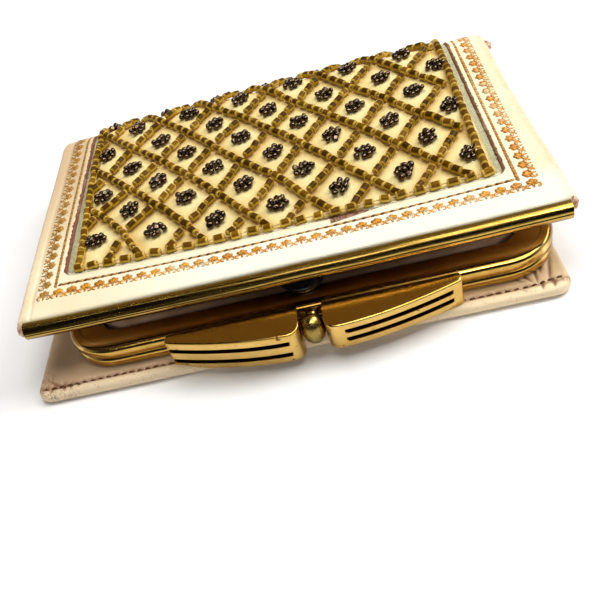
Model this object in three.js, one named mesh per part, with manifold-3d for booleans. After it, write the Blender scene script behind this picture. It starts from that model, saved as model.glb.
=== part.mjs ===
// A folding leather purse with a beaded cover and a framed coin pouch, lying shut on a table.
// Millimetres. X runs along the front edge, Y to the back, Z up. Angles are in radians.

import * as THREE from 'three';
import { mergeVertices } from 'three/addons/utils/BufferGeometryUtils.js';
import Module from 'manifold-3d';

// Leather case: one wrap of cover, spine and lower panel.
const caseWidth = 112;
const leatherWall = 2.2;
const leatherRound = 0.7;
const coverFrontHeight = 14.84;
const coverTilt = THREE.MathUtils.degToRad(3);
const coverFlat = 61.5;
const spineTopRadius = 11;
const spineLowRadius = 6.5;
const panelFrontY = -9.5;
const panelCornerRadius = 6;

// Window in the cover, measured along the cover from its front edge.
const windowHalfWidth = 47.2;
const windowFront = 11.9;
const windowRear = 78.6;
const windowDepth = 1.2;
const windowCornerRadius = 2.2;

// Beaded cloth panel and the strings of tube beads on it.
const panelGap = 0.3;
const panelEdgeLift = -0.25;
const panelDome = 0.8;
const beadRadius = 0.9;
const beadSides = 5;
const beadGap = 0.15;
const borderInset = 3.2;
const diamondWidth = 13.5;
const diamondRow = 8.6;
const firstDiamondRow = 17.7;
const flatStep = 14;
const spineStep = 3.5;
const frontSteps = 4;

// Metal edge bar on the front of the cover.
const barHalfLength = 54.2;
const barRadius = 1.85;
const barWall = 0.5;
const barCentre = { y: -0.6, z: 13 };
const barClearance = 0.1;
const tongueHeight = 2.2;
const tongueFrontY = -1.1;
const tongueRootY = 0.8;
const tongueHalfWidth = 53.7;

// Framed mouth of the coin pouch: two jaws, each a rolled rim with a flat flange.
const frameCentreX = 2.55;
const frameHalfWidth = 51.3;
const frameFrontY = -5.6;
const frameArmY = 25;
const frameCornerRadius = 11;
const rimWidth = 2.4;
const rimHeight = 2.3;
const rimRound = 0.8;
const jawBase = 2.5;
const jawGap = 0.25;
const flangeThickness = 0.6;
const flangeStep = 0.4;
const flangeFrontWidth = 7.1;
const flangeSideWidth = 9.7;
const flangeCornerRadius = 5;
const knuckleRadius = 2.2;
const knuckleLength = 3;

// Bow clasp: two wings and a ball between them.
const claspCentreX = 3.75;
const claspGap = 0.3;
const wingInner = 2.4;
const wingOuter = 29.4;
const wingDeep = 7.5;
const wingTaper = 4.9;
const wingTaperPower = 1.7;
const wingHeight = 6.1;
const wingRound = 0.35;
const wingInnerRadius = 1.7;
const grooveHeight = 0.8;
const grooveDepth = 0.8;
const grooveLevels = [0.36, 0.68];
const grooveInner = 6.2;
const grooveOuter = { left: 31, right: 27.2 };
const ballRadii = { x: 2.1, y: 2.3, z: 3.2 };
const ballReach = 4;
const neckRadius = 1;

// Coin pouch: side sections from the mouth to the closed end. The inside of the wall
// follows each section, shifted along Y by the inside column in wall thicknesses.
const pouchHalfWidth = 41.2;
const pouchWall = 1;
const pouchRound = 0.7;
const pouchSections = [
  { y: -2.9, low: 3.75, high: 6.05, inside: -2 },
  { y: 1.8, low: 3.75, high: 6.05, inside: 1 },
  { y: 2.0, low: 2.6, high: 7.4, inside: 1.2 },
  { y: 12, low: 2.5, high: 11.0, inside: 0.3 },
  { y: 34, low: 2.5, high: 11.6, inside: 0 },
  { y: 46, low: 3.0, high: 9.2, inside: -0.5 },
  { y: 50, low: 4.9, high: 7.1, inside: -1 },
];

// Snap that holds the cover to the pouch.
const snapTilt = THREE.MathUtils.degToRad(20);
const snapCentre = { x: 3.6, y: 5.6, z: 9.02 };
const snapProfile = [
  { radius: 0, height: 0 },
  { radius: 4.4, height: 0 },
  { radius: 4.7, height: 0.4 },
  { radius: 4.7, height: 0.9 },
  { radius: 3.6, height: 1.5 },
  { radius: 0, height: 1.7 },
];

const quarterTurn = Math.PI / 2;
const arcSegments = 5;
const roundSides = 14;
const ballRings = 10;
const wasm = await Module();
wasm.setup();

// Turns a closed geometry into a solid that can be joined and cut.
function solidOf(geometry) {
  const bare = geometry.clone();
  bare.deleteAttribute('normal');
  bare.deleteAttribute('uv');
  const merged = mergeVertices(bare, 1e-4);
  return new wasm.Manifold(new wasm.Mesh({
    numProp: 3,
    vertProperties: new Float32Array(merged.attributes.position.array),
    triVerts: new Uint32Array(merged.index.array),
  }));
}

function geometryOf(solid) {
  const mesh = solid.getMesh();
  const geometry = new THREE.BufferGeometry();
  geometry.setAttribute('position', new THREE.BufferAttribute(mesh.vertProperties, 3));
  geometry.setIndex(new THREE.BufferAttribute(mesh.triVerts, 1));
  geometry.computeVertexNormals();
  return geometry;
}

// Extrudes a shape by a full depth that includes its rounded ends.
function extrude(shape, depth, round) {
  const geometry = new THREE.ExtrudeGeometry(shape, {
    depth: depth - 2 * round,
    curveSegments: arcSegments,
    bevelEnabled: round > 0,
    bevelThickness: round,
    bevelSize: round,
    bevelOffset: -round,
    bevelSegments: 2,
  });
  return geometry.translate(0, 0, round);
}

// Draws a side view, given in (Y, Z), out along X about a middle.
function alongX(shape, width, middle = 0, round = 0) {
  const geometry = extrude(shape, width, round);
  geometry.translate(0, 0, middle - width / 2);
  return geometry.applyMatrix4(new THREE.Matrix4().makeBasis(
    new THREE.Vector3(0, 1, 0),
    new THREE.Vector3(0, 0, 1),
    new THREE.Vector3(1, 0, 0),
  ));
}

// Draws a plan, given in (X, Y), upwards from a base.
function upwards(shape, height, base, round = 0) {
  return extrude(shape, height, round).translate(0, 0, base);
}

// Places along the outside of the cover: distance back from its front edge, and lift off the leather.
const coverAngle = quarterTurn + coverTilt;
const spineTop = {
  y: coverFlat * Math.cos(coverTilt) + spineTopRadius * Math.sin(coverTilt),
  z: coverFrontHeight + coverFlat * Math.sin(coverTilt) - spineTopRadius * Math.cos(coverTilt),
};
const spineLow = { y: spineTop.y + spineTopRadius - spineLowRadius, z: spineLowRadius };

function coverAngleAt(distance) {
  return coverAngle - Math.max(0, distance - coverFlat) / spineTopRadius;
}

function coverPoint(distance, lift) {
  const angle = coverAngleAt(distance);
  const flat = Math.min(distance, coverFlat) - coverFlat;
  const reach = spineTopRadius + lift;
  return {
    y: spineTop.y + reach * Math.cos(angle) + flat * Math.cos(coverTilt),
    z: spineTop.z + reach * Math.sin(angle) + flat * Math.sin(coverTilt),
  };
}

// A band that follows the cover between two distances and two lifts.
function coverBand(front, rear, low, high) {
  const shape = new THREE.Shape();
  const start = coverPoint(front, high);
  const bend = coverPoint(coverFlat, high);
  const end = coverPoint(front, low);
  const rearAngle = coverAngleAt(rear);
  shape.moveTo(start.y, start.z);
  shape.lineTo(bend.y, bend.z);
  shape.absarc(spineTop.y, spineTop.z, spineTopRadius + high, coverAngle, rearAngle, true);
  shape.absarc(spineTop.y, spineTop.z, spineTopRadius + low, rearAngle, coverAngle, false);
  shape.lineTo(end.y, end.z);
  return shape;
}

function caseProfile() {
  const shape = new THREE.Shape();
  const edge = leatherWall / 2;
  const frontOut = coverPoint(barClearance, 0);
  const frontIn = coverPoint(barClearance, -leatherWall);
  const topIn = spineTopRadius - leatherWall;
  const lowIn = spineLowRadius - leatherWall;
  shape.moveTo(panelFrontY + edge, 0);
  shape.lineTo(spineLow.y, 0);
  shape.absarc(spineLow.y, spineLow.z, spineLowRadius, -quarterTurn, 0, false);
  shape.absarc(spineTop.y, spineTop.z, spineTopRadius, 0, coverAngle, false);
  shape.lineTo(frontOut.y, frontOut.z);
  shape.lineTo(frontIn.y, frontIn.z);
  shape.absarc(spineTop.y, spineTop.z, topIn, coverAngle, 0, true);
  shape.absarc(spineLow.y, spineLow.z, lowIn, 0, -quarterTurn, true);
  shape.absarc(panelFrontY + edge, edge, edge, quarterTurn, 3 * quarterTurn, false);
  return shape;
}

// The waste outside one rounded front corner of the lower panel.
function cornerWaste(side) {
  const spare = 1;
  const half = caseWidth / 2;
  const inner = half - panelCornerRadius;
  const backY = panelFrontY + panelCornerRadius;
  const shape = new THREE.Shape();
  shape.moveTo(side * (half + spare), panelFrontY - spare);
  shape.lineTo(side * (half + spare), backY);
  const [from, to] = side > 0 ? [0, -quarterTurn] : [Math.PI, 3 * quarterTurn];
  shape.absarc(side * inner, backY, panelCornerRadius, from, to, side > 0);
  shape.lineTo(side * inner, panelFrontY - spare);
  return upwards(shape, coverFrontHeight / 2, -spare);
}

// An upright block over the window, inset all round, that rounds its front corners.
function windowBlock(inset) {
  const half = windowHalfWidth - inset;
  const corner = windowCornerRadius - inset;
  const frontY = coverPoint(windowFront + inset, 0).y;
  const rearY = spineTop.y + 2 * spineTopRadius;
  const plan = new THREE.Shape();
  plan.moveTo(half, rearY);
  plan.lineTo(-half, rearY);
  plan.absarc(corner - half, frontY + corner, corner, Math.PI, 3 * quarterTurn, false);
  plan.absarc(half - corner, frontY + corner, corner, -quarterTurn, 0, false);
  return solidOf(upwards(plan, 2 * coverFrontHeight, 0));
}

function windowCutter() {
  const above = 3;
  const band = alongX(coverBand(windowFront, windowRear, -windowDepth, above), 2 * windowHalfWidth);
  return solidOf(band).intersect(windowBlock(0));
}

function leatherCase() {
  const tongue = new THREE.Shape();
  const low = barCentre.z - tongueHeight / 2;
  tongue.moveTo(tongueFrontY, low);
  tongue.lineTo(tongueRootY, low);
  tongue.lineTo(tongueRootY, low + tongueHeight);
  tongue.lineTo(tongueFrontY, low + tongueHeight);
  let solid = solidOf(alongX(caseProfile(), caseWidth, 0, leatherRound));
  solid = solid.add(solidOf(alongX(tongue, 2 * tongueHalfWidth)));
  solid = solid.subtract(solidOf(cornerWaste(1)));
  solid = solid.subtract(solidOf(cornerWaste(-1)));
  return geometryOf(solid.subtract(windowCutter()));
}

function edgeBar() {
  const { y, z } = barCentre;
  const inner = barRadius - barWall;
  const shape = new THREE.Shape();
  shape.moveTo(0, z + barRadius);
  shape.lineTo(y, z + barRadius);
  shape.absarc(y, z, barRadius, quarterTurn, 3 * quarterTurn, false);
  shape.lineTo(0, z - barRadius);
  shape.lineTo(0, z - inner);
  shape.absarc(y, z, inner, 3 * quarterTurn, quarterTurn, true);
  shape.lineTo(0, z + inner);
  return alongX(shape, 2 * barHalfLength);
}

// Lift of the padded cloth above the leather, highest in the middle of the window.
function panelLift(x, distance) {
  const across = x / windowHalfWidth;
  const along = (2 * distance - windowFront - windowRear) / (windowRear - windowFront);
  return panelEdgeLift + panelDome * (1 - across ** 4) * (1 - along ** 4);
}

// A closed sheet between two surfaces over the same grid of columns and rows.
function sheetBetween(columns, rows, topAt, lowAt) {
  const points = [];
  const index = [];
  const layer = (columns + 1) * (rows + 1);
  const at = (column, row) => row * (columns + 1) + column;
  for (const surface of [topAt, lowAt]) {
    for (let row = 0; row <= rows; row += 1) {
      for (let column = 0; column <= columns; column += 1) {
        points.push(...surface(column, row));
      }
    }
  }
  const quad = (a, b, c, d) => index.push(a, b, c, a, c, d);
  for (let row = 0; row < rows; row += 1) {
    for (let column = 0; column < columns; column += 1) {
      const [a, b] = [at(column, row), at(column + 1, row)];
      const [c, d] = [at(column + 1, row + 1), at(column, row + 1)];
      quad(a, b, c, d);
      quad(d + layer, c + layer, b + layer, a + layer);
    }
  }
  const wall = (from, to) => quad(from + layer, to + layer, to, from);
  for (let column = 0; column < columns; column += 1) {
    wall(at(column, 0), at(column + 1, 0));
    wall(at(column + 1, rows), at(column, rows));
  }
  for (let row = 0; row < rows; row += 1) {
    wall(at(columns, row), at(columns, row + 1));
    wall(at(0, row + 1), at(0, row));
  }
  const geometry = new THREE.BufferGeometry();
  geometry.setAttribute('position', new THREE.Float32BufferAttribute(points, 3));
  geometry.setIndex(index);
  geometry.computeVertexNormals();
  return geometry;
}

// Steps along the cover between two distances: wide ones on the flat, close ones on the spine.
function coverStations(front, rear) {
  const stations = [];
  const flatEnd = THREE.MathUtils.clamp(coverFlat, front, rear);
  const split = (from, to, step) => {
    const count = Math.ceil((to - from) / step);
    for (let station = 0; station < count; station += 1) {
      stations.push(THREE.MathUtils.lerp(from, to, station / count));
    }
  };
  split(front, flatEnd, flatStep);
  split(flatEnd, rear, spineStep);
  stations.push(rear);
  return stations;
}

function beadPanel() {
  const columns = 10;
  const half = windowHalfWidth;
  const stations = coverStations(windowFront, windowRear - panelGap);
  const surface = (liftAt) => (column, row) => {
    const x = THREE.MathUtils.lerp(-half, half, column / columns);
    const { y, z } = coverPoint(stations[row], liftAt(x, stations[row]));
    return [x, y, z];
  };
  const floor = panelGap / 2 - windowDepth;
  const sheet = sheetBetween(columns, stations.length - 1, surface(panelLift), surface(() => floor));
  return geometryOf(solidOf(sheet).intersect(windowBlock(panelGap)));
}

// One string of tube beads lying on the cloth between two places on the cover.
class BeadString extends THREE.Curve {
  constructor(from, to) {
    super();
    this.from = from;
    this.to = to;
    const start = from.distance;
    const span = to.distance - start;
    const rows = coverStations(start, to.distance).map((distance) => (distance - start) / span);
    const columns = Array.from({ length: frontSteps + 1 }, (_, step) => step / frontSteps);
    this.stations = span > beadRadius ? rows : columns;
  }

  get steps() {
    return this.stations.length - 1;
  }

  // Spreads even steps over the stations of the string.
  getUtoTmapping(u) {
    const place = u * this.steps;
    const before = Math.min(Math.floor(place), this.steps - 1);
    return THREE.MathUtils.lerp(this.stations[before], this.stations[before + 1], place - before);
  }

  getPoint(t, target = new THREE.Vector3()) {
    const x = THREE.MathUtils.lerp(this.from.x, this.to.x, t);
    const distance = THREE.MathUtils.lerp(this.from.distance, this.to.distance, t);
    const { y, z } = coverPoint(distance, panelLift(x, distance) + beadGap + beadRadius);
    return target.set(x, y, z);
  }
}

// The border strings, then the two families of slanting strings clipped to the border.
function beadRoutes() {
  const half = windowHalfWidth - borderInset;
  const front = windowFront + borderInset / 2;
  const rear = windowRear - borderInset / 2;
  const overlap = 0.4;
  const routes = [front, rear].map((distance) => ({
    from: { x: -half - overlap, distance },
    to: { x: half + overlap, distance },
  }));
  for (const x of [-half, half]) {
    routes.push({ from: { x, distance: front - overlap }, to: { x, distance: rear + overlap } });
  }
  const shortest = 4;
  const mostStrings = 12;
  const slope = diamondWidth / (2 * diamondRow);
  for (const lean of [-slope, slope]) {
    for (let count = -mostStrings; count < mostStrings; count += 1) {
      const startX = (count + 0.5) * diamondWidth;
      const xAt = (distance) => startX + lean * (distance - firstDiamondRow);
      const distanceAt = (x) => firstDiamondRow + (x - startX) / lean;
      const crossings = [distanceAt(-half), distanceAt(half)].sort((a, b) => a - b);
      const low = Math.max(front, crossings[0]);
      const high = Math.min(rear, crossings[1]);
      if (high - low > shortest) {
        routes.push({ from: { x: xAt(low), distance: low }, to: { x: xAt(high), distance: high } });
      }
    }
  }
  return routes;
}

function beadLattice() {
  const corners = Array.from({ length: beadSides }, (_, side) => {
    const angle = (side / beadSides) * 2 * Math.PI;
    return new THREE.Vector2(beadRadius * Math.cos(angle), beadRadius * Math.sin(angle));
  });
  const section = new THREE.Shape(corners);
  const strings = beadRoutes().map(({ from, to }) => {
    const path = new BeadString(from, to);
    const settings = { steps: path.steps, extrudePath: path, bevelEnabled: false };
    return solidOf(new THREE.ExtrudeGeometry(section, settings));
  });
  return geometryOf(strings.reduce((whole, string) => whole.add(string)));
}

// Plan of a band round the front and arms of the frame, from an outer to an inner inset.
function framePlan(outer, innerFront, innerSide, innerRadius) {
  const left = frameCentreX - frameHalfWidth;
  const right = frameCentreX + frameHalfWidth;
  const radius = frameCornerRadius - outer;
  const frontY = frameFrontY + outer;
  const insideY = frameFrontY + innerFront + innerRadius;
  const shape = new THREE.Shape();
  shape.moveTo(left + outer, frameArmY);
  shape.lineTo(left + outer, frontY + radius);
  shape.absarc(left + outer + radius, frontY + radius, radius, Math.PI, 3 * quarterTurn, false);
  shape.absarc(right - outer - radius, frontY + radius, radius, -quarterTurn, 0, false);
  shape.lineTo(right - outer, frameArmY);
  shape.lineTo(right - innerSide, frameArmY);
  shape.absarc(right - innerSide - innerRadius, insideY, innerRadius, 0, -quarterTurn, true);
  shape.absarc(left + innerSide + innerRadius, insideY, innerRadius, 3 * quarterTurn, Math.PI, true);
  shape.lineTo(left + innerSide, frameArmY);
  return shape;
}

// A jaw from the height of its rim and the height of its flange.
function jaw(rimBase, flangeBase) {
  const rimPlan = framePlan(0, rimWidth, rimWidth, frameCornerRadius - rimWidth);
  const flangePlan = framePlan(rimWidth / 2, flangeFrontWidth, flangeSideWidth, flangeCornerRadius);
  const rim = solidOf(upwards(rimPlan, rimHeight, rimBase, rimRound));
  return geometryOf(rim.add(solidOf(upwards(flangePlan, flangeThickness, flangeBase))));
}

function lowerJaw() {
  return jaw(jawBase, jawBase + flangeStep);
}

const upperJawBase = jawBase + rimHeight + jawGap;
const frameTop = upperJawBase + rimHeight;

function upperJaw() {
  return jaw(upperJawBase, frameTop - flangeStep - flangeThickness);
}

// A plain knuckle behind the ends of both arms on one side.
function hingeKnuckle(side) {
  const geometry = new THREE.CylinderGeometry(knuckleRadius, knuckleRadius, knuckleLength, roundSides);
  geometry.rotateZ(quarterTurn);
  const x = frameCentreX + side * (frameHalfWidth - rimWidth / 2);
  return geometry.translate(x, frameArmY + claspGap + knuckleRadius, (jawBase + frameTop) / 2);
}

const wingBackY = frameFrontY - claspGap;

// Front edge of a wing at a distance from the middle of the clasp.
function wingFrontY(reach) {
  const along = Math.max(0, reach - 2 * wingInner) / (wingOuter - 2 * wingInner);
  return wingBackY - wingDeep + wingTaper * along ** wingTaperPower;
}

function wingPlan(side) {
  const stations = 9;
  const shape = new THREE.Shape();
  const place = (reach) => claspCentreX + side * reach;
  const roundStart = wingInner + wingInnerRadius;
  shape.moveTo(place(wingInner), wingBackY);
  shape.lineTo(place(wingOuter), wingBackY);
  for (let station = 0; station <= stations; station += 1) {
    const reach = THREE.MathUtils.lerp(wingOuter, roundStart, station / stations);
    shape.lineTo(place(reach), wingFrontY(reach));
  }
  const deepest = wingFrontY(roundStart);
  shape.quadraticCurveTo(place(wingInner), deepest, place(wingInner), deepest + wingInnerRadius);
  return shape;
}

// The waste of one groove along the front face of a wing.
function grooveWaste(side, outer, level) {
  const stations = 10;
  const clear = 3;
  const shape = new THREE.Shape();
  const place = (reach) => claspCentreX + side * reach;
  shape.moveTo(place(outer), wingFrontY(outer) - clear);
  shape.lineTo(place(grooveInner), wingFrontY(grooveInner) - clear);
  for (let station = 0; station <= stations; station += 1) {
    const reach = THREE.MathUtils.lerp(grooveInner, outer, station / stations);
    shape.lineTo(place(reach), wingFrontY(reach) + grooveDepth);
  }
  return upwards(shape, grooveHeight, jawBase + level * wingHeight - grooveHeight / 2);
}

function wing(side, outer) {
  let solid = solidOf(upwards(wingPlan(side), wingHeight, jawBase, wingRound));
  for (const level of grooveLevels) {
    solid = solid.subtract(solidOf(grooveWaste(side, outer, level)));
  }
  return geometryOf(solid);
}

function claspBall() {
  const centre = { y: wingBackY - ballReach, z: jawBase + wingHeight / 2 };
  const ball = new THREE.SphereGeometry(1, roundSides, ballRings).scale(ballRadii.x, ballRadii.z, ballRadii.y);
  ball.rotateX(quarterTurn).translate(claspCentreX, centre.y, centre.z);
  const length = wingBackY - centre.y;
  const neck = new THREE.CylinderGeometry(neckRadius, neckRadius, length, roundSides);
  neck.translate(claspCentreX, centre.y + length / 2, centre.z);
  return geometryOf(solidOf(ball).add(solidOf(neck)));
}

// An upright block round the pouch: a neck between the flanges, then shoulders that round the corners.
function pouchBlock(wall) {
  const corner = flangeCornerRadius - claspGap - wall;
  const half = pouchHalfWidth - wall;
  const neck = half - corner;
  const shoulderY = frameFrontY + flangeFrontWidth + flangeCornerRadius;
  const endY = pouchSections.at(-1).y;
  const plan = new THREE.Shape();
  plan.moveTo(half, endY);
  plan.lineTo(-half, endY);
  plan.absarc(-neck, shoulderY, corner, Math.PI, 3 * quarterTurn, false);
  plan.lineTo(-neck, frameFrontY);
  plan.lineTo(neck, frameFrontY);
  plan.absarc(neck, shoulderY, corner, -quarterTurn, 0, false);
  return solidOf(upwards(plan, coverFrontHeight, 0).translate(frameCentreX, 0, 0));
}

// Side view of the pouch, or of its inside when a wall is taken off.
function pouchProfile(wall) {
  const shape = new THREE.Shape();
  const places = pouchSections.map(({ y, low, high, inside }) => ({
    y: y + inside * wall,
    low: low + wall,
    high: high - wall,
  }));
  shape.moveTo(places[0].y, places[0].low);
  places.slice(1).forEach(({ y, low }) => shape.lineTo(y, low));
  places.reverse().forEach(({ y, high }) => shape.lineTo(y, high));
  return shape;
}

function coinPouch() {
  const outside = alongX(pouchProfile(0), 2 * pouchHalfWidth, frameCentreX, pouchRound);
  const inside = alongX(pouchProfile(pouchWall), 2 * pouchHalfWidth, frameCentreX);
  const hollow = solidOf(inside).intersect(pouchBlock(pouchWall + pouchRound));
  return geometryOf(solidOf(outside).intersect(pouchBlock(0)).subtract(hollow));
}

function snap() {
  const points = snapProfile.map(({ radius, height }) => new THREE.Vector2(radius, height));
  const geometry = new THREE.LatheGeometry(points, roundSides);
  geometry.rotateX(quarterTurn + snapTilt);
  return geometry.translate(snapCentre.x, snapCentre.y, snapCentre.z);
}

const looks = {
  leather: { color: 0xf3e6d2, roughness: 0.55, metalness: 0 },
  pouchLeather: { color: 0xb59a90, roughness: 0.6, metalness: 0 },
  cloth: { color: 0xf0dca6, roughness: 0.85, metalness: 0 },
  glass: { color: 0x8a6420, roughness: 0.2, metalness: 0 },
  gold: { color: 0xb08a3c, roughness: 0.25, metalness: 1 },
  enamel: { color: 0x15161a, roughness: 0.2, metalness: 0.2 },
};

const purse = new THREE.Group();

function addPiece(name, geometry, look) {
  const piece = new THREE.Mesh(geometry, new THREE.MeshStandardMaterial(look));
  piece.name = name;
  purse.add(piece);
}

addPiece('leather_case', leatherCase(), looks.leather);
addPiece('edge_bar', edgeBar(), looks.gold);
addPiece('bead_panel', beadPanel(), looks.cloth);
addPiece('bead_lattice', beadLattice(), looks.glass);
addPiece('upper_jaw', upperJaw(), looks.gold);
addPiece('lower_jaw', lowerJaw(), looks.gold);
addPiece('hinge_knuckle_left', hingeKnuckle(-1), looks.gold);
addPiece('hinge_knuckle_right', hingeKnuckle(1), looks.gold);
addPiece('left_wing', wing(-1, grooveOuter.left), looks.gold);
addPiece('right_wing', wing(1, grooveOuter.right), looks.gold);
addPiece('clasp_ball', claspBall(), looks.gold);
addPiece('coin_pouch', coinPouch(), looks.pouchLeather);
addPiece('snap', snap(), looks.enamel);

// The origin goes to the middle of the underside of the whole purse.
const box = new THREE.Box3().setFromObject(purse);
const middle = box.getCenter(new THREE.Vector3());
purse.position.set(-middle.x, -middle.y, -box.min.z);

export default purse;
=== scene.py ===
import math

import bmesh
import bpy
import numpy as np
from mathutils import Matrix, Vector


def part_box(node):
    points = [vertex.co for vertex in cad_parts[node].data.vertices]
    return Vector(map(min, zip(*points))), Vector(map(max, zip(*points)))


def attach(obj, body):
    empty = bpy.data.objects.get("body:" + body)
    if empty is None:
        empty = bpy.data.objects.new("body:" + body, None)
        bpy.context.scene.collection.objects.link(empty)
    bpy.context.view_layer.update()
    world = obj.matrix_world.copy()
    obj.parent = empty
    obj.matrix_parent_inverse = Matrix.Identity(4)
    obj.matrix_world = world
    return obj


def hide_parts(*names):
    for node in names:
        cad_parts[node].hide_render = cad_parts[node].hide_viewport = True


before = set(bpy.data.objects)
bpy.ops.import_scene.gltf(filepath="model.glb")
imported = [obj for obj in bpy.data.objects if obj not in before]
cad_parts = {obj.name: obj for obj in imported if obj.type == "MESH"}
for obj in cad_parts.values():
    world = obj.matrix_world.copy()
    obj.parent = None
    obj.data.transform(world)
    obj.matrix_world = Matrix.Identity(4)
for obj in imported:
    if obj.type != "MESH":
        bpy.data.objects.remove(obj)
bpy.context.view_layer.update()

mm = 0.001
print("frame loaded:", len(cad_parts), "nodes")


# Nodes: one wrapper serves shader trees and geometry trees

class Term:  # a socket that can stand in a sum
    def __init__(self, tree, socket=None):
        self.tree = tree
        self.socket = socket

    def add(self, kind, settings=None, sockets=None, out=0):  # any node: settings first, then sockets
        made = self.tree.nodes.new(kind)
        for name, value in (settings or {}).items():
            setattr(made, name, value)
        for key, value in (sockets or {}).items():
            if isinstance(value, Term):
                self.tree.links.new(value.socket, made.inputs[key])
            else:
                made.inputs[key].default_value = value
        return Term(self.tree, made.outputs[out])

    def math(self, operation, *others):
        return self.add("ShaderNodeMath", {"operation": operation}, dict(enumerate((self, *others))))

    def after(self, operation, number):  # the number stands first
        return self.add("ShaderNodeMath", {"operation": operation}, {0: number, 1: self})

    def __add__(self, other):
        return self.math("ADD", other)

    def __sub__(self, other):
        return self.math("SUBTRACT", other)

    def __mul__(self, other):
        return self.math("MULTIPLY", other)

    def __radd__(self, other):
        return self.after("ADD", other)

    def __rsub__(self, other):
        return self.after("SUBTRACT", other)

    def __rmul__(self, other):
        return self.after("MULTIPLY", other)

    def __abs__(self):
        return self.math("ABSOLUTE")

    def atMost(self, other):
        return self.math("MINIMUM", other)

    def between(self, low, high):  # 0 below low, 1 above high, smooth between
        sockets = {"Value": self, "From Min": low, "From Max": high}
        return self.add("ShaderNodeMapRange", {"interpolation_type": "SMOOTHSTEP"}, sockets)

    def blend(self, first, second):  # a colour from first at 0 to second at 1
        sockets = {0: self, 6: first, 7: second}
        return self.add("ShaderNodeMix", {"data_type": "RGBA"}, sockets, out=2)


def tone(red, green, blue):  # a colour as a screen shows it, made linear
    def linear(value):
        share = value / 255
        return share / 12.92 if share <= 0.04045 else ((share + 0.055) / 1.055) ** 2.4
    return (linear(red), linear(green), linear(blue), 1.0)


class Paint:  # one material with a principled shader
    def __init__(self, name, **constants):
        self.material = bpy.data.materials.new(name)
        self.material.use_nodes = True
        self.tree = self.material.node_tree
        self.shader = self.tree.nodes["Principled BSDF"]
        self.add = Term(self.tree).add
        for label, value in constants.items():
            self.set(label, value)

    def set(self, label, value):
        words = {"color": "Base Color", "coat": "Coat Weight", "coatRough": "Coat Roughness",
                 "sheen": "Sheen Weight", "sheenRough": "Sheen Roughness", "specular": "Specular IOR Level"}
        socket = self.shader.inputs[words.get(label, label.capitalize())]
        if isinstance(value, Term):
            self.tree.links.new(value.socket, socket)
        else:
            socket.default_value = value

    def place(self):  # object coordinates in millimetres
        coordinates = self.add("ShaderNodeTexCoord", out=3)
        sockets = {0: coordinates, "Scale": 1 / mm}
        return self.add("ShaderNodeVectorMath", {"operation": "SCALE"}, sockets)

    def flat(self):  # (x, distance, inset) kept on the points of the piece
        return self.add("ShaderNodeAttribute", {"attribute_name": "flat"}, out=1)

    def value(self, name):  # a number kept on the points of the piece
        return self.add("ShaderNodeAttribute", {"attribute_name": name}, out=2)

    def split(self, vector, axis):
        return self.add("ShaderNodeSeparateXYZ", None, {0: vector}, out=axis)

    def parts(self, vector):
        return [self.split(vector, axis) for axis in range(3)]

    def stretch(self, vector, across, along, up):
        return self.add("ShaderNodeMapping", None, {"Vector": vector, "Scale": (across, along, up)})

    def noise(self, vector, scale, detail=2.0, rough=0.5):
        sockets = {"Vector": vector, "Scale": scale, "Detail": detail, "Roughness": rough}
        return self.add("ShaderNodeTexNoise", None, sockets)

    def cells(self, vector, scale):
        return self.add("ShaderNodeTexVoronoi", None, {"Vector": vector, "Scale": scale})

    def wave(self, vector, scale, direction, distortion):
        settings = {"bands_direction": direction}
        sockets = {"Vector": vector, "Scale": scale, "Distortion": distortion}
        return self.add("ShaderNodeTexWave", settings, sockets, out=1)

    def bump(self, height, strength, depth):
        sockets = {"Height": height, "Strength": strength, "Distance": depth * mm}
        self.set("normal", self.add("ShaderNodeBump", None, sockets))


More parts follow.
